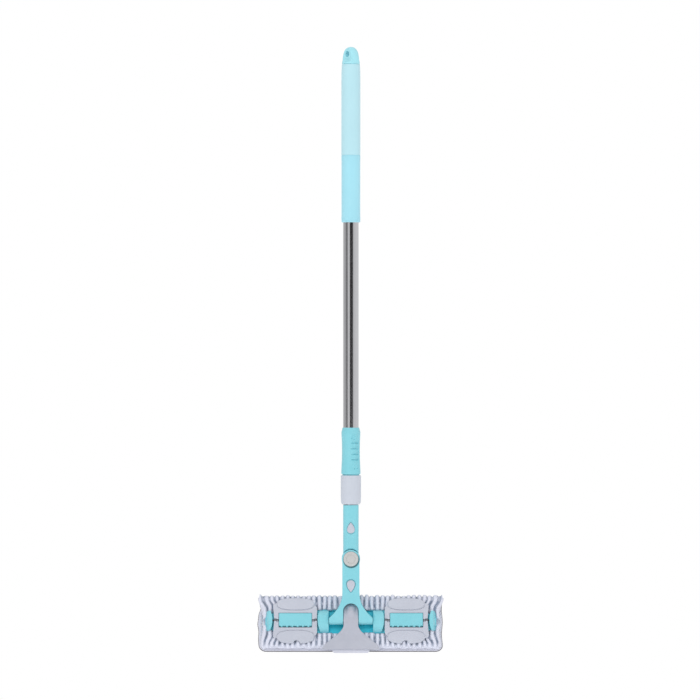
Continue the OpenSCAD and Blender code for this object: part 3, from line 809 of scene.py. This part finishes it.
def ribbed(points):
    """Raises the collar's thumb lines and cuts a groove under each."""
    skin, wall_inside, rib, cut, soft = 16.5, 14.2, 0.8, 1.9, 0.8
    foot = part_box("lock_nut")[0].z + 54.6 * MM
    depth = points[:, 1] - HANDLE_Y
    radius = np.hypot(points[:, 0], depth)
    around = np.arctan2(points[:, 0], -depth) * skin
    level = (points[:, 2] - foot) / MM
    outside = np.clip((radius / MM - wall_inside) / 0.8, 0, 1)
    push = np.zeros(len(points))
    for (a0, z0), (a1, z1) in THUMB_LINES:
        run = np.array([a1 - a0, z1 - z0], float)
        share = np.clip(((around - a0) * run[0] + (level - z0) * run[1]) / (run @ run), 0, 1)
        across, rise = around - a0 - share * run[0], level - z0 - share * run[1]
        push += rib * np.exp(-(across ** 2 + rise ** 2) / soft)
        push -= cut * np.exp(-(across ** 2 + (rise + 1.9) ** 2) / soft)
    scale = 1 + np.clip(push, -1.8, 0.9) * outside * MM / np.maximum(radius, MM)
    points[:, 0] *= scale
    points[:, 1] = HANDLE_Y + depth * scale
    return points


def twist_nut():
    """Nut with a tapered foot, a fine groove near its top and a bore that clears the sliding tube."""
    low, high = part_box("lock_nut")
    r = radius_of("lock_nut")
    bore, cavity, floor = radius_of("inner_tube") + 0.35 * MM, 15.6 * MM, low.z + 6 * MM
    outline = [(bore, low.z), (r - 3.8 * MM, low.z), (r - 1.6 * MM, low.z + 1.2 * MM),
               (r - 0.35 * MM, low.z + 4.5 * MM), (r, low.z + 14 * MM), (r, high.z - 5.2 * MM),
               (r - 0.35 * MM, high.z - 4.8 * MM), (r, high.z - 4.4 * MM), (r, high.z - 1 * MM),
               (r - 0.9 * MM, high.z), (cavity, high.z), (cavity, floor), (bore, floor)]
    piece = revolved("twist_nut", divided(eased(outline, 1.0 * MM), 4 * MM), 160)
    settle(piece, "lock_nut", FINISHES["lock"], "grey_plastic", "lock_nut")


class MOP_OT_lock(bpy.types.Operator):
    """Build the lock collar, the twist nut and the sliding tube"""

    bl_idname = "mop.lock"
    bl_label = "Lock"

    def execute(self, context):
        settle_moulding("lock_collar_moulding", "lock_collar", "handle", "turquoise", "turquoise_plastic",
                        grain=0.4 * MM, rounds=3, keep=0.6, shape=ribbed)
        twist_nut()
        steel_tube("sliding_steel_tube", "inner_tube", "pole", 144)
        return {"FINISHED"}


# ---------- Neck ----------

def drop_button(name, node, body, point_up):
    """Crowned, drop-shaped cover with an eased rim; its point is up or down."""
    low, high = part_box(node)
    middle = (low + high) / 2
    half_w, half_h = (high.x - low.x) / 2, (high.z - low.z) / 2
    widest, crown = 0.77, 0.9 * MM
    turns = np.linspace(0, 2 * math.pi, 72, endpoint=False)
    across = np.sin(turns) * np.abs(np.sin(turns / 2)) * half_w / widest
    along = np.cos(turns) * half_h * (1 if point_up else -1)
    sizes = [(0.89, high.y), (0.89, low.y + 0.7 * MM), (0.885, low.y + 0.3 * MM), (0.86, low.y + 0.05 * MM)]
    sizes += [(size, low.y - crown * (1 - size ** 2) * 0.8) for size in (0.78, 0.65, 0.5, 0.3, 0.1)]
    rings = []
    for size, y in sizes:
        x, z = middle.x + across * size, middle.z + along * size
        rings.append(np.stack([x, np.full(len(turns), y), z], -1))
    piece = from_points(name, *tube_of_rings(rings))
    settle(piece, body, FINISHES["grey"], "grey_plastic", node)


def grooved_boss(points):
    """Cuts a groove round the knob cap, deepest below it and to its right."""
    front_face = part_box("knob_cap")[0].y
    groove, half_width, deepest = 14.7 * MM, 1.8 * MM, 2.9 * MM
    across, rise = points[:, 0] - KNOB.x, points[:, 2] - KNOB.z
    radius = np.hypot(across, rise)
    ring = np.clip(1 - np.abs(radius - groove) / half_width, 0, 1) ** 0.5
    share = np.clip(0.45 + 0.75 * (0.5 * across - 0.87 * rise) / np.maximum(radius, MM), 0, 1)
    front = np.clip((front_face + 4.2 * MM - points[:, 1]) / (1.5 * MM), 0, 1)
    points[:, 1] += deepest * ring * share * front
    return points


def knob_button():
    """Round cap over the hinge bolt, with a ring sunk into its face."""
    low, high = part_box("knob_cap")
    r, thick = radius_of("knob_cap"), high.y - low.y
    outline = [(0, 0), (r, 0), (r, thick * 0.55), (r - 0.9 * MM, thick * 0.88), (8.7 * MM, thick * 0.95),
               (8.3 * MM, thick * 0.72), (7.3 * MM, thick * 0.72), (6.9 * MM, thick * 0.95), (3 * MM, thick),
               (0, thick)]
    turns = np.linspace(0, 2 * math.pi, 120, endpoint=False)
    rings = []
    for p in eased(outline, 0.45 * MM):
        across, rise = KNOB.x + p[0] * np.sin(turns), KNOB.z + p[0] * np.cos(turns)
        rings.append(np.stack([across, np.full(len(turns), high.y - p[1]), rise], -1))
    faces = grid_faces(len(rings), len(turns), closed_columns=True)
    piece = from_points("knob_button", np.array(rings).reshape(-1, 3), faces)
    settle(piece, "yoke", FINISHES["knob"], "grey_plastic", "knob_cap")


class MOP_OT_neck(bpy.types.Operator):
    """Build the upper neck, the yoke with its back cover, the knob cap and the two screw covers"""

    bl_idname = "mop.neck"
    bl_label = "Neck"

    def execute(self, context):
        settle_moulding("upper_neck_moulding", "upper_neck", "pole", "turquoise", "turquoise_plastic",
                        grain=0.45 * MM, rounds=3)
        settle_moulding("yoke_moulding", "yoke", "yoke", "yoke", "turquoise_plastic",
                        grain=0.45 * MM, rounds=4, shape=grooved_boss)
        settle_moulding("yoke_back_moulding", "yoke_back_cover", "yoke", "turquoise", "turquoise_plastic",
                        grain=0.45 * MM, rounds=3)
        drop_button("upper_drop_cover", "upper_screw_cover", "pole", True)
        drop_button("lower_drop_cover", "lower_screw_cover", "yoke", False)
        knob_button()
        return {"FINISHED"}


# ---------- Head ----------

def saddle_piece(name, node):
    """Block over a clip pin, with eased ends and a row of short notches along its front foot."""
    low, high = head_box(node)
    shoulder = high[2] - 0.2 * MM
    outline = [(low[1], low[2]), (low[1], shoulder), (low[1] + 1.2 * MM, high[2]),
               (high[1] - 1.2 * MM, high[2]), (high[1], shoulder), (high[1], low[2])]
    ring = np.array([tuple(p) for p in divided(eased(outline, 0.9 * MM), 1.2 * MM)])
    middle = (ring.min(0) + ring.max(0)) / 2
    inside = np.linspace(low[0] + 0.9 * MM, high[0] - 0.9 * MM, 110)
    stations = [(low[0], 0.96), (low[0] + 0.15 * MM, 0.985), (low[0] + 0.5 * MM, 1.0)]
    stations += [(x, 1.0) for x in inside]
    stations += [(high[0] - 0.5 * MM, 1.0), (high[0] - 0.15 * MM, 0.985), (high[0], 0.96)]
    notch, pitch = 1.4 * MM, 9.6 * MM
    rings = []
    for x, size in stations:
        section = middle + (ring - middle) * size
        phase = abs(((x - low[0]) % pitch) / pitch - 0.5)
        depth = notch * float(smooth_step((phase - 0.12) / 0.1))
        foot = section[:, 0] < low[1] + 1.5 * MM
        section = section + np.stack([np.where(foot, depth, 0), np.zeros(len(section))], -1)
        rings.append(on_head(np.column_stack([np.full(len(section), x), section])))
    settle(from_points(name, *tube_of_rings(rings)), "head", FINISHES["turquoise"], "turquoise_plastic", node)


class MOP_OT_head(bpy.types.Operator):
    """Build the base plate and the two saddles"""

    bl_idname = "mop.head"
    bl_label = "Head"

    def execute(self, context):
        settle_moulding("base_plate_moulding", "base_plate", "head", "base", "turquoise_plastic",
                        grain=0.55 * MM, rounds=4, keep=0.35)
        saddle_piece("saddle_block_left", "saddle_left")
        saddle_piece("saddle_block_right", "saddle_right")
        return {"FINISHED"}


def edged_pad(clip):
    """Cuts a fine groove round the clip's oval thumb pad, and dishes the pad a little."""
    low, high = head_box(clip)
    front = -1 if "front" in clip else 1
    middle = (low[0] + high[0]) / 2 - math.copysign(0.9 * MM, low[0])
    reach = max(abs(low[1]), abs(high[1]))
    half_w, half_d, cut, sunk = 33.2 * MM, 11.2 * MM, 1.1, 0.5

    def shape(points):
        p = in_head(points)
        out = front * p[:, 1]
        across = np.abs(p[:, 0] - middle) / half_w
        along = np.abs(out - (reach - 12 * MM)) / half_d
        oval = across ** 2.8 + along ** 2.5
        on_top = np.clip((p[:, 2] + 2.6 * MM + 0.1 * np.maximum(out - 28 * MM, 0)) / (1.2 * MM), 0, 1)
        inner_side = np.clip((reach - 9 * MM - out) / (6 * MM), 0, 1)
        groove = cut * np.exp(-((oval - 1) / 0.11) ** 2) * inner_side
        dish = sunk * np.clip(1 - oval, 0, 1)
        p[:, 2] -= (groove + dish) * on_top * MM
        return on_head(p)
    return shape


class MOP_OT_clips(bpy.types.Operator):
    """Build the four spring clips that hold the cloth"""

    bl_idname = "mop.clips"
    bl_label = "Clips"

    def execute(self, context):
        for clip in ("clip_front_left", "clip_back_left", "clip_front_right", "clip_back_right"):
            settle_moulding(clip + "_moulding", clip, clip, "grey", "grey_plastic",
                            grain=0.36 * MM, rounds=3, keep=0.5, shape=edged_pad(clip))
        return {"FINISHED"}


def crown_bell(points):
    """Lowers the flanks of the scraper's bell, and crowns the tongue that lies in the yoke's fork."""
    low, high = head_box("scraper")
    p = in_head(points)
    across, back, up = np.abs(p[:, 0]), p[:, 1], p[:, 2]
    tongue_half, bell_half = 13.2 * MM, high[0]
    start, end = -11 * MM, low[1] + 1 * MM
    half = tongue_half + (bell_half - tongue_half) * smooth_step((start - back) / (start - end))
    flank = np.clip(1 - (half - across) / (7.5 * MM), 0, 1) ** 1.3
    along = smooth_step((-14 * MM - back) / (14 * MM))
    fallen = 1.25 * MM * flank * along * np.clip((up + 4.7 * MM) / (1.6 * MM), 0, 1)

    middle = np.clip(1 - (across / (8.5 * MM)) ** 2, 0, 1)
    tip = smooth_step((back - 2 * MM) / (14 * MM)) * (1 - 0.65 * smooth_step((back - 21 * MM) / (8 * MM)))
    up = up - fallen
    crowned = 5.5 * MM * middle * tip * np.clip((up - 1 * MM) / (5 * MM), 0, 1)

    edge = np.clip(1 - (tongue_half - across) / (5 * MM), 0, 1) ** 2
    on_tongue = smooth_step((back + 16 * MM) / (10 * MM))
    up = up + crowned
    eased_off = 0.6 * MM * edge * on_tongue * np.clip((up - 1 * MM) / (3 * MM), 0, 1)
    p[:, 2] = up - eased_off
    return on_head(p)


class MOP_OT_scraper(bpy.types.Operator):
    """Build the scraper and its soft lip"""

    bl_idname = "mop.scraper"
    bl_label = "Scraper"

    def execute(self, context):
        settle_moulding("scraper_moulding", "scraper", "head", "scraper", "grey_plastic",
                        grain=0.42 * MM, rounds=4, shape=crown_bell)
        settle_moulding("scraper_lip", "scraper_blade", "head", "rubber", "grey_rubber",
                        grain=0.3 * MM, rounds=2, keep=0.5)
        return {"FINISHED"}


# ---------- Pad ----------

class Ropes:
    """Height of the cloth's ropes over its backing, with each rope a little different from the next."""

    def __init__(self, settings, seed, half):
        self.pitch, self.backing, self.sway = settings.pitch, settings.backing, settings.sway
        self.count = int(half / self.pitch) + 4
        draw = random.Random(seed)

        def one_each(least, most):
            return np.array([draw.uniform(least, most) for _ in range(2 * self.count + 1)])

        self.plump = one_each(0.88, 1.05)
        self.width = one_each(0.36, 0.425)
        self.phase = one_each(0, 2 * math.pi)
        self.reach = one_each(-1, 1)

    def rope_at(self, index):
        return np.clip(index + self.count, 0, 2 * self.count)

    def at(self, across, along, full, valley):
        """Thickness and crest, from 0 in a gap to 1 on a crest, at places on the cloth."""
        lay, slant = 4.6 * MM, 4.8
        wander = self.sway * np.sin(along / (11 * MM) + np.round(across / self.pitch) * 1.7)
        place = (across + wander) / self.pitch
        index = np.round(place).astype(int)
        rope = self.rope_at(index)
        phase = self.phase[rope]
        off = np.abs(place - index) / self.width[rope]
        rounded = np.sqrt(np.clip(1 - off ** 2.2, 0, 1))
        twist = np.sin(2 * math.pi * along / lay + phase + (place - index) * slant)
        swell = 1 + 0.1 * np.sin(along / (7 * MM) + 2 * phase)
        loose = np.sin(along / (2.7 * MM) + 3 * phase) + 0.6 * np.sin(along / (1.3 * MM))
        fill = np.clip(loose, 0, 1)
        thick = valley + (full * self.plump[rope] * swell - valley) * rounded * (0.94 + 0.06 * twist)
        crest = np.clip(1 - 0.92 * off ** 2, 0, 1) * (0.93 + 0.07 * twist)
        return thick, np.maximum(crest, 0.42 * fill)

    def end_jitter(self, across):
        return self.reach[self.rope_at(np.round(across / self.pitch).astype(int))]


def crested_piece(name, rings, crests):
    """Body of rings whose points carry their crest value for the material."""
    points, faces = tube_of_rings(rings)
    mesh = bpy.data.meshes.new(name)
    mesh.from_pydata(points.tolist(), [], faces)
    crest = mesh.attributes.new("crest", "FLOAT", "POINT")
    crest.data.foreach_set("value", np.asarray(crests, np.float32).ravel())
    work = bmesh.new()
    work.from_mesh(mesh)
    bmesh.ops.recalc_face_normals(work, faces=work.faces)
    work.to_mesh(mesh)
    work.free()
    return new_piece(name, mesh)


def flap_route(wall, low, deck, inner, step):
    """Inner face of a flap in (back, up), with its normals: up the pad's side and in over the deck."""
    bend = 3 * MM
    places, normals = [], []
    for z in np.arange(low, deck - bend, step):
        places.append((wall, z))
        normals.append((1, 0))
    for angle in np.linspace(0, math.pi / 2, 8):
        places.append((wall - bend + bend * math.cos(angle), deck - bend + bend * math.sin(angle)))
        normals.append((math.cos(angle), math.sin(angle)))
    for y in np.arange(wall - bend - step, inner, -step):
        places.append((y, deck))
        normals.append((0, 1))
    places.append((inner, deck))
    normals.append((0, 1))
    return np.array(places), np.array(normals)


# How far from the middle of the mop, and how far a flap's inner edge is drawn in there, in millimetres.
DRAWN_IN = ((0, 0), (120, 0), (134, 4), (146, 7), (156, 6), (163, 4))
# The same places, and how far the flap reaches on over the deck.
REACH_ON = ((0, 0), (136, 0), (142, 1), (149, 6), (156, 12), (163, 18))
# How far a flap's corners stray sideways where it turns the pad's edge: the back flap's, then the front's.
SPREAD = {1: 4 * MM, -1: -1.5 * MM}


def read_table(table, places):
    at, value = zip(*table)
    return np.interp(places / MM, at, value) * MM


def rounded_end(share, least):
    """Height of an edge that rounds off where the share falls to 0, never less than asked."""
    return np.sqrt(np.clip(1 - (1 - share) ** 2, least, 1))


def build_flap(name, node, side, settings, seed):
    """One long flap of ropes. side is -1 for the front flap and 1 for the back one."""
    back = side > 0
    low, high = head_box(node)
    edge, inner = (high[1], low[1]) if back else (-low[1], -high[1])
    deck, top = head_box("saddle_right")[0][2] + 0.05 * MM, high[2]
    wall = head_box("base_plate")[1][1] + 0.45 * MM
    half = high[0]
    ropes = Ropes(settings, seed, half)
    route, normals = flap_route(wall, low[2], deck, inner, 0.85 * MM)
    along = np.concatenate([[0], np.cumsum(np.linalg.norm(np.diff(route, axis=0), axis=1))])
    total = along[-1]
    x = np.linspace(-half, half, int(2 * half / settings.step))[:, None]
    s = along[None, :]

    # Places: the flap's corners are drawn in over the deck, and every rope ends a little sooner or later.
    in_deck = np.clip((wall - route[:, 0]) / (wall - inner), 0, 1)[None, :]
    corner = smooth_step((np.abs(x) - 150 * MM) / (10 * MM))
    wave = 1.3 * MM * np.sin(s / (5 * MM) + np.sign(x)) * corner * in_deck
    outward = SPREAD[side] * corner * (1 - smooth_step(in_deck / 0.55))
    drawn_in = read_table(DRAWN_IN, np.abs(x)) * smooth_step(in_deck / 0.6)
    placed_x = x + np.sign(x) * (outward - drawn_in + wave)
    cut = 10 * MM * (1 - smooth_step((np.abs(x) - 13.4 * MM) / (1.6 * MM))) if back else 0 * x
    jitter = 0.9 * MM * ropes.end_jitter(x) * (cut == 0)
    placed_v = route[:, 0][None, :] + in_deck * (cut + jitter - read_table(REACH_ON, np.abs(x)))

    # Thickness: full ropes on the deck, fuller at the pad's edge, and a plain face down the front wall.
    wall_share = (normals[:, 0] ** 2)[None, :]
    overhang = (3.6 if back else 1.3) * MM * smooth_step((route[:, 1] - low[2]) / (7 * MM))[None, :]
    full = (top - deck) * (1 - wall_share) + (edge - wall + overhang) * wall_share + 1.0 * MM * corner
    plain_wall = 0 * wall_share if back else wall_share
    valley = settings.backing + (full - 3.0 * MM - settings.backing) * wall_share
    thick, crest = ropes.at(x, s, full, np.maximum(valley, full * plain_wall))
    crest = crest + (0.7 - crest) * smooth_step(plain_wall * 1.4 - 0.4)
    under_clip = (top - deck) + 0.25 * MM
    free = 12 * MM * np.maximum(wall_share, corner)
    thick = np.minimum(thick, under_clip * (1 - wall_share) * (1 - corner) + free)
    thick = thick * rounded_end(np.clip((total - s) / (3.6 * MM), 0, 1), 0.02)
    thick = thick * np.clip((half - np.abs(x)) / (2.5 * MM), 0.25, 1)

    outer_v, outer_up = side * (placed_v + thick * normals[:, 0]), route[:, 1] + thick * normals[:, 1]
    outer = np.stack([placed_x + 0 * s, outer_v, outer_up], -1)
    under = np.stack([placed_x + 0 * s, side * placed_v, route[:, 1] + 0 * placed_x], -1)
    rings = np.concatenate([outer, under[:, ::-1]], axis=1)
    crests = np.concatenate([crest * np.ones_like(thick), np.full_like(thick, 0.5)], axis=1)
    piece = crested_piece(name, on_head(rings), crests)
    settle(piece, "head", FINISHES["yarn"], "microfibre", node)
    directions = np.column_stack([np.zeros(len(normals)), side * normals[:, 0], normals[:, 1]])
    return piece, [(outer[end], directions) for end in (0, -1)], total


def band_along(lines, width, thick):
    """Points and faces of folded tape bands that follow the ends of the flaps."""
    section = [(math.cos(a), math.sin(a)) for a in np.linspace(0, 2 * math.pi, 14, endpoint=False)]
    points, faces = [], []
    for line, normals in lines:
        rings = []
        outward = np.array([math.copysign(1, line[0][0]), 0, 0])
        for p, n in zip(line[::2], normals[::2]):
            centre = p - n * 0.2 * MM - outward * width * 0.3
            rings.append([centre + outward * width / 2 * c + n * thick * (d + 0.1) for c, d in section])
        made, quads = tube_of_rings(on_head(np.array(rings)), first=len(points))
        points += made.tolist()
        faces += quads
    return points, faces


def rounded_rectangle(half_w, half_d, corner, step):
    """Points and outward normals round a rectangle with round corners."""
    places, normals = [], []
    for sx, sy, start in ((1, 1, 0), (-1, 1, 90), (-1, -1, 180), (1, -1, 270)):
        for angle in np.radians(np.linspace(start, start + 90, 12)):
            normal = np.array([math.cos(angle), math.sin(angle)])
            places.append(np.array([sx * (half_w - corner), sy * (half_d - corner)]) + corner * normal)
            normals.append(normal)
    full_p, full_n = [], []
    for i, p in enumerate(places):
        q = places[(i + 1) % len(places)]
        count = max(1, int(np.linalg.norm(q - p) / step))
        for k in range(count):
            full_p.append(p + (q - p) * k / count)
            blended = normals[i] + (normals[(i + 1) % len(places)] - normals[i]) * k / count
            full_n.append(blended / np.linalg.norm(blended))
    return np.array(full_p), np.array(full_n)


def build_sole(settings):
    """Ropes of the pile under the foam, running from front to back."""
    low, high = head_box("cloth_sole")
    border = 4.8 * MM
    low, high = low + [border, 0.45 * border, 0], high - [border, 0.45 * border, 0]
    ropes = Ropes(settings, 31, high[0])
    corner = 10 * MM
    columns = np.linspace(low[0], high[0], int((high[0] - low[0]) / (settings.step * 1.15)))
    share = np.linspace(-1, 1, 86)
    past = np.clip(np.abs(columns) - (high[0] - corner), 0, corner)
    reach = high[1] - corner + np.sqrt(corner ** 2 - past ** 2)
    x = columns[:, None] + 0 * share[None, :]
    v = reach[:, None] * share[None, :]
    full = (high[2] - low[2]) * np.ones_like(x)
    thick, crest = ropes.at(x, v, full * 0.93, settings.backing)
    rim = np.clip((1 - np.abs(share)) * high[1] / (3.5 * MM), 0, 1)[None, :] * np.ones_like(x)
    ends = np.clip((high[0] - np.abs(x)) / (3.5 * MM), 0, 1)
    thick = np.minimum(thick, full) * rounded_end(np.minimum(rim, ends), 0.06)
    under = np.stack([x, v, high[2] - thick], -1)
    over = np.stack([x, v, high[2] + 0 * thick], -1)
    rings = np.concatenate([under, over[:, ::-1]], axis=1)
    crests = np.concatenate([crest, np.full_like(crest, 0.75)], axis=1)
    piece = crested_piece("sole_pile", on_head(rings), crests)
    settle(piece, "head", FINISHES["yarn"], "microfibre", "cloth_sole")


def swept(places, normals, outs, heights):
    """Rings in the head's directions: a section of outs and heights stands at each place along an edge."""
    flat = places[:, None, :] + normals[:, None, :] * np.asarray(outs)[None, :, None]
    level = np.broadcast_to(np.asarray(heights)[None, :, None], flat.shape[:2] + (1,))
    return np.concatenate([flat, level], axis=2)


def binding_outset(places, normals, half_w):
    """How far the tape strays from a true rectangle: it puckers at the ends and stands out in front."""
    end_share = smooth_step((np.abs(places[:, 0]) - (half_w - 14 * MM)) / (12 * MM))
    pucker = 0.8 * MM * np.sin(places[:, 1] / (7.5 * MM) + np.sign(places[:, 0]))
    on_left = (places[:, 0] < 0) * 1.0
    bulge = 3.0 * MM * np.exp(-((places[:, 1] + 1 * MM) / (10 * MM)) ** 2) * on_left
    pinch = 3.5 * MM * np.exp(-((places[:, 1] - 30 * MM) / (9 * MM)) ** 2) * on_left
    taut = 1.5 * MM * (1 - on_left)
    front = 2.9 * MM * smooth_step(-normals[:, 1])
    return (pucker + bulge - pinch - taut) * end_share + front


# Section of the folded tape: millimetres out from the pad's edge, and share of the tape's height.
TAPE_SECTION = (
    (-8, 0.66), (-1.6, 0.5), (-0.3, 0.0), (0.0, 0.12), (0.12, 0.35), (0.12, 0.65), (0.0, 0.9), (-0.3, 1.0),
    (-8, 0.94),
)


def build_binding():
    """Folded tape round the pad, its stitches, and the overlocked edge under it, whose dark cord also paints the
    shadow line under the hem.
    """
    low, high = head_box("edge_binding")
    foot, depth = low[2], high[2] - low[2]
    places, normals = rounded_rectangle(high[0], high[1], 11.6 * MM, 2.2 * MM)
    places = places + normals * binding_outset(places, normals, high[0])[:, None]
    outs, rises = np.array(TAPE_SECTION).T
    tape = ring_body("edge_tape", on_head(swept(places, normals, outs * MM, foot + depth * rises)))
    settle(tape, "head", FINISHES["tape"], "binding_tape", "edge_binding")

    # Painted shade, partly real: the dark overlock cord along the tape's foot stands in for the shadow line under
    # the hem.
    turns = np.linspace(0, 2 * math.pi, 8, endpoint=False)
    outs, heights = (0.3 + 1.1 * np.cos(turns)) * MM, foot + (0.6 + 1.1 * np.sin(turns)) * MM
    cord = ring_body("overlock_edge", on_head(swept(places, normals, outs, heights)))
    settle(cord, "head", FINISHES["overlock"], "binding_tape")

    around = np.concatenate([[0], np.cumsum(np.linalg.norm(np.diff(places, axis=0), axis=1))])
    pitch, stitch, bead = 4.4 * MM, 2.9 * MM, 0.28 * MM
    corners = turns[::2] + 0.4
    points, faces = [], []
    for k in range(int(around[-1] / pitch)):
        rings = []
        for share in (0, 0.15, 0.5, 0.85, 1):
            at = k * pitch + stitch * share
            p = np.array([[np.interp(at, around, places[:, i]) for i in (0, 1)]])
            n = np.array([[np.interp(at, around, normals[:, i]) for i in (0, 1)]])
            size = bead * math.sqrt(max(0.06, 1 - (2 * share - 1) ** 2))
            outs, heights = 0.1 * MM + size * np.cos(corners), foot + depth * 0.62 + size * np.sin(corners)
            rings.append(swept(p, n, outs, heights)[0])
        made, quads = tube_of_rings(on_head(np.array(rings)), first=len(points))
        points += made.tolist()
        faces += quads
    settle(from_points("tape_stitches", points, faces), "head", FINISHES["tape"], "binding_tape")


# Side of the foam: share of its height, and how far it is drawn in there, in millimetres.
FOAM_SIDE = (
    (0.0, 2.2), (0.03, 0.9), (0.15, 0.1), (0.3, 0.0), (0.5, 0.7), (0.7, 0.0), (0.85, 0.1), (0.97, 0.9),
    (1.0, 2.2),
)


def build_foam():
    """Foam layer with flat faces, eased edges and sides that pull in a little halfway up."""
    low, high = head_box("foam_pad")
    rings = []
    for rise, inset in FOAM_SIDE:
        places, _ = rounded_rectangle(high[0] - inset * MM, high[1] - inset * MM, 8 * MM, 6 * MM)
        height = low[2] + (high[2] - low[2]) * rise
        rings.append(np.column_stack([places, np.full(len(places), height)]))
    size = min(len(r) for r in rings)
    rings = [r[np.linspace(0, len(r) - 1, size).astype(int)] for r in rings]
    piece = from_points("foam_layer", *tube_of_rings(on_head(np.array(rings))))
    settle(piece, "head", FINISHES["foam"], "foam", "foam_pad")


class MOP_OT_pad(bpy.types.Operator):
    """Build the foam, the pile sole, the two flaps, their hems and the edge binding"""

    bl_idname = "mop.pad"
    bl_label = "Pad"

    def execute(self, context):
        settings = context.scene.mop_cloth
        build_foam()
        build_sole(settings)
        build_binding()
        for name, side, seed in (("front_flap", -1, 11), ("back_flap", 1, 23)):
            node = "cloth_" + name
            piece, ends, length = build_flap(name, node, side, settings, seed)
            hems = from_points(name + "_hems", *band_along(ends, 2.6 * MM, 1.2 * MM))
            settle(hems, "head", FINISHES["tape"], "binding_tape")
        return {"FINISHED"}


# ---------- Hardware ----------

# Nodes that stay as the frame has them: each finish with its slot, and the nodes that take it.
HARDWARE = {
    ("nylon", "white_nylon"): ("collet", "inner_tube_guide"),
    ("grey", "grey_plastic"): ("tube_plug",),
    ("zinc", "zinc_steel"): (
        "neck_screw", "yoke_screw", "hinge_bolt", "hinge_nut", "yoke_axle", "scraper_screws",
    ),
    ("pin", "zinc_steel"): ("clip_pin_left", "clip_pin_right"),
}


class MOP_OT_hardware(bpy.types.Operator):
    """Give the screws, pins, axle and inner plastic parts their materials"""

    bl_idname = "mop.hardware"
    bl_label = "Hardware"

    def execute(self, context):
        for (finish, slot), nodes in HARDWARE.items():
            for node in nodes:
                piece = frame["nodes"][node]
                piece.data.materials.clear()
                piece.data.materials.append(FINISHES[finish])
        return {"FINISHED"}


# ---------- Panel and registration ----------

OPERATORS = (
    MOP_OT_finishes, MOP_OT_stage, MOP_OT_handle, MOP_OT_lock, MOP_OT_neck,
    MOP_OT_head, MOP_OT_clips, MOP_OT_scraper, MOP_OT_pad, MOP_OT_hardware,
)
SETTINGS = {"mop_colours": MopColours, "mop_cloth": ClothSettings, "mop_stage": StageSettings}


class MOP_PT_panel(bpy.types.Panel):
    """Sizes, colours and building steps of the flat mop"""

    bl_idname = "MOP_PT_panel"
    bl_label = "Flat mop"
    bl_space_type = "VIEW_3D"
    bl_region_type = "UI"
    bl_category = "Flat mop"

    def draw(self, context):
        for name, group in SETTINGS.items():
            box = self.layout.box()
            for field in group.__annotations__:
                box.prop(getattr(context.scene, name), field)
        for operator in OPERATORS:
            self.layout.operator(operator.bl_idname)


def register():
    for cls in (*SETTINGS.values(), *OPERATORS, MOP_PT_panel):
        bpy.utils.register_class(cls)
    for name, group in SETTINGS.items():
        setattr(bpy.types.Scene, name, bpy.props.PointerProperty(type=group))


def unregister():
    for name in SETTINGS:
        delattr(bpy.types.Scene, name)
    for cls in reversed((*SETTINGS.values(), *OPERATORS, MOP_PT_panel)):
        bpy.utils.unregister_class(cls)


def main():
    register()
    bpy.ops.mop.finishes()
    bpy.ops.mop.stage()
    bpy.ops.mop.handle()
    bpy.ops.mop.lock()
    bpy.ops.mop.neck()
    bpy.ops.mop.head()
    bpy.ops.mop.clips()
    bpy.ops.mop.scraper()
    bpy.ops.mop.pad()
    bpy.ops.mop.hardware()


if __name__ == "__main__":
    main()
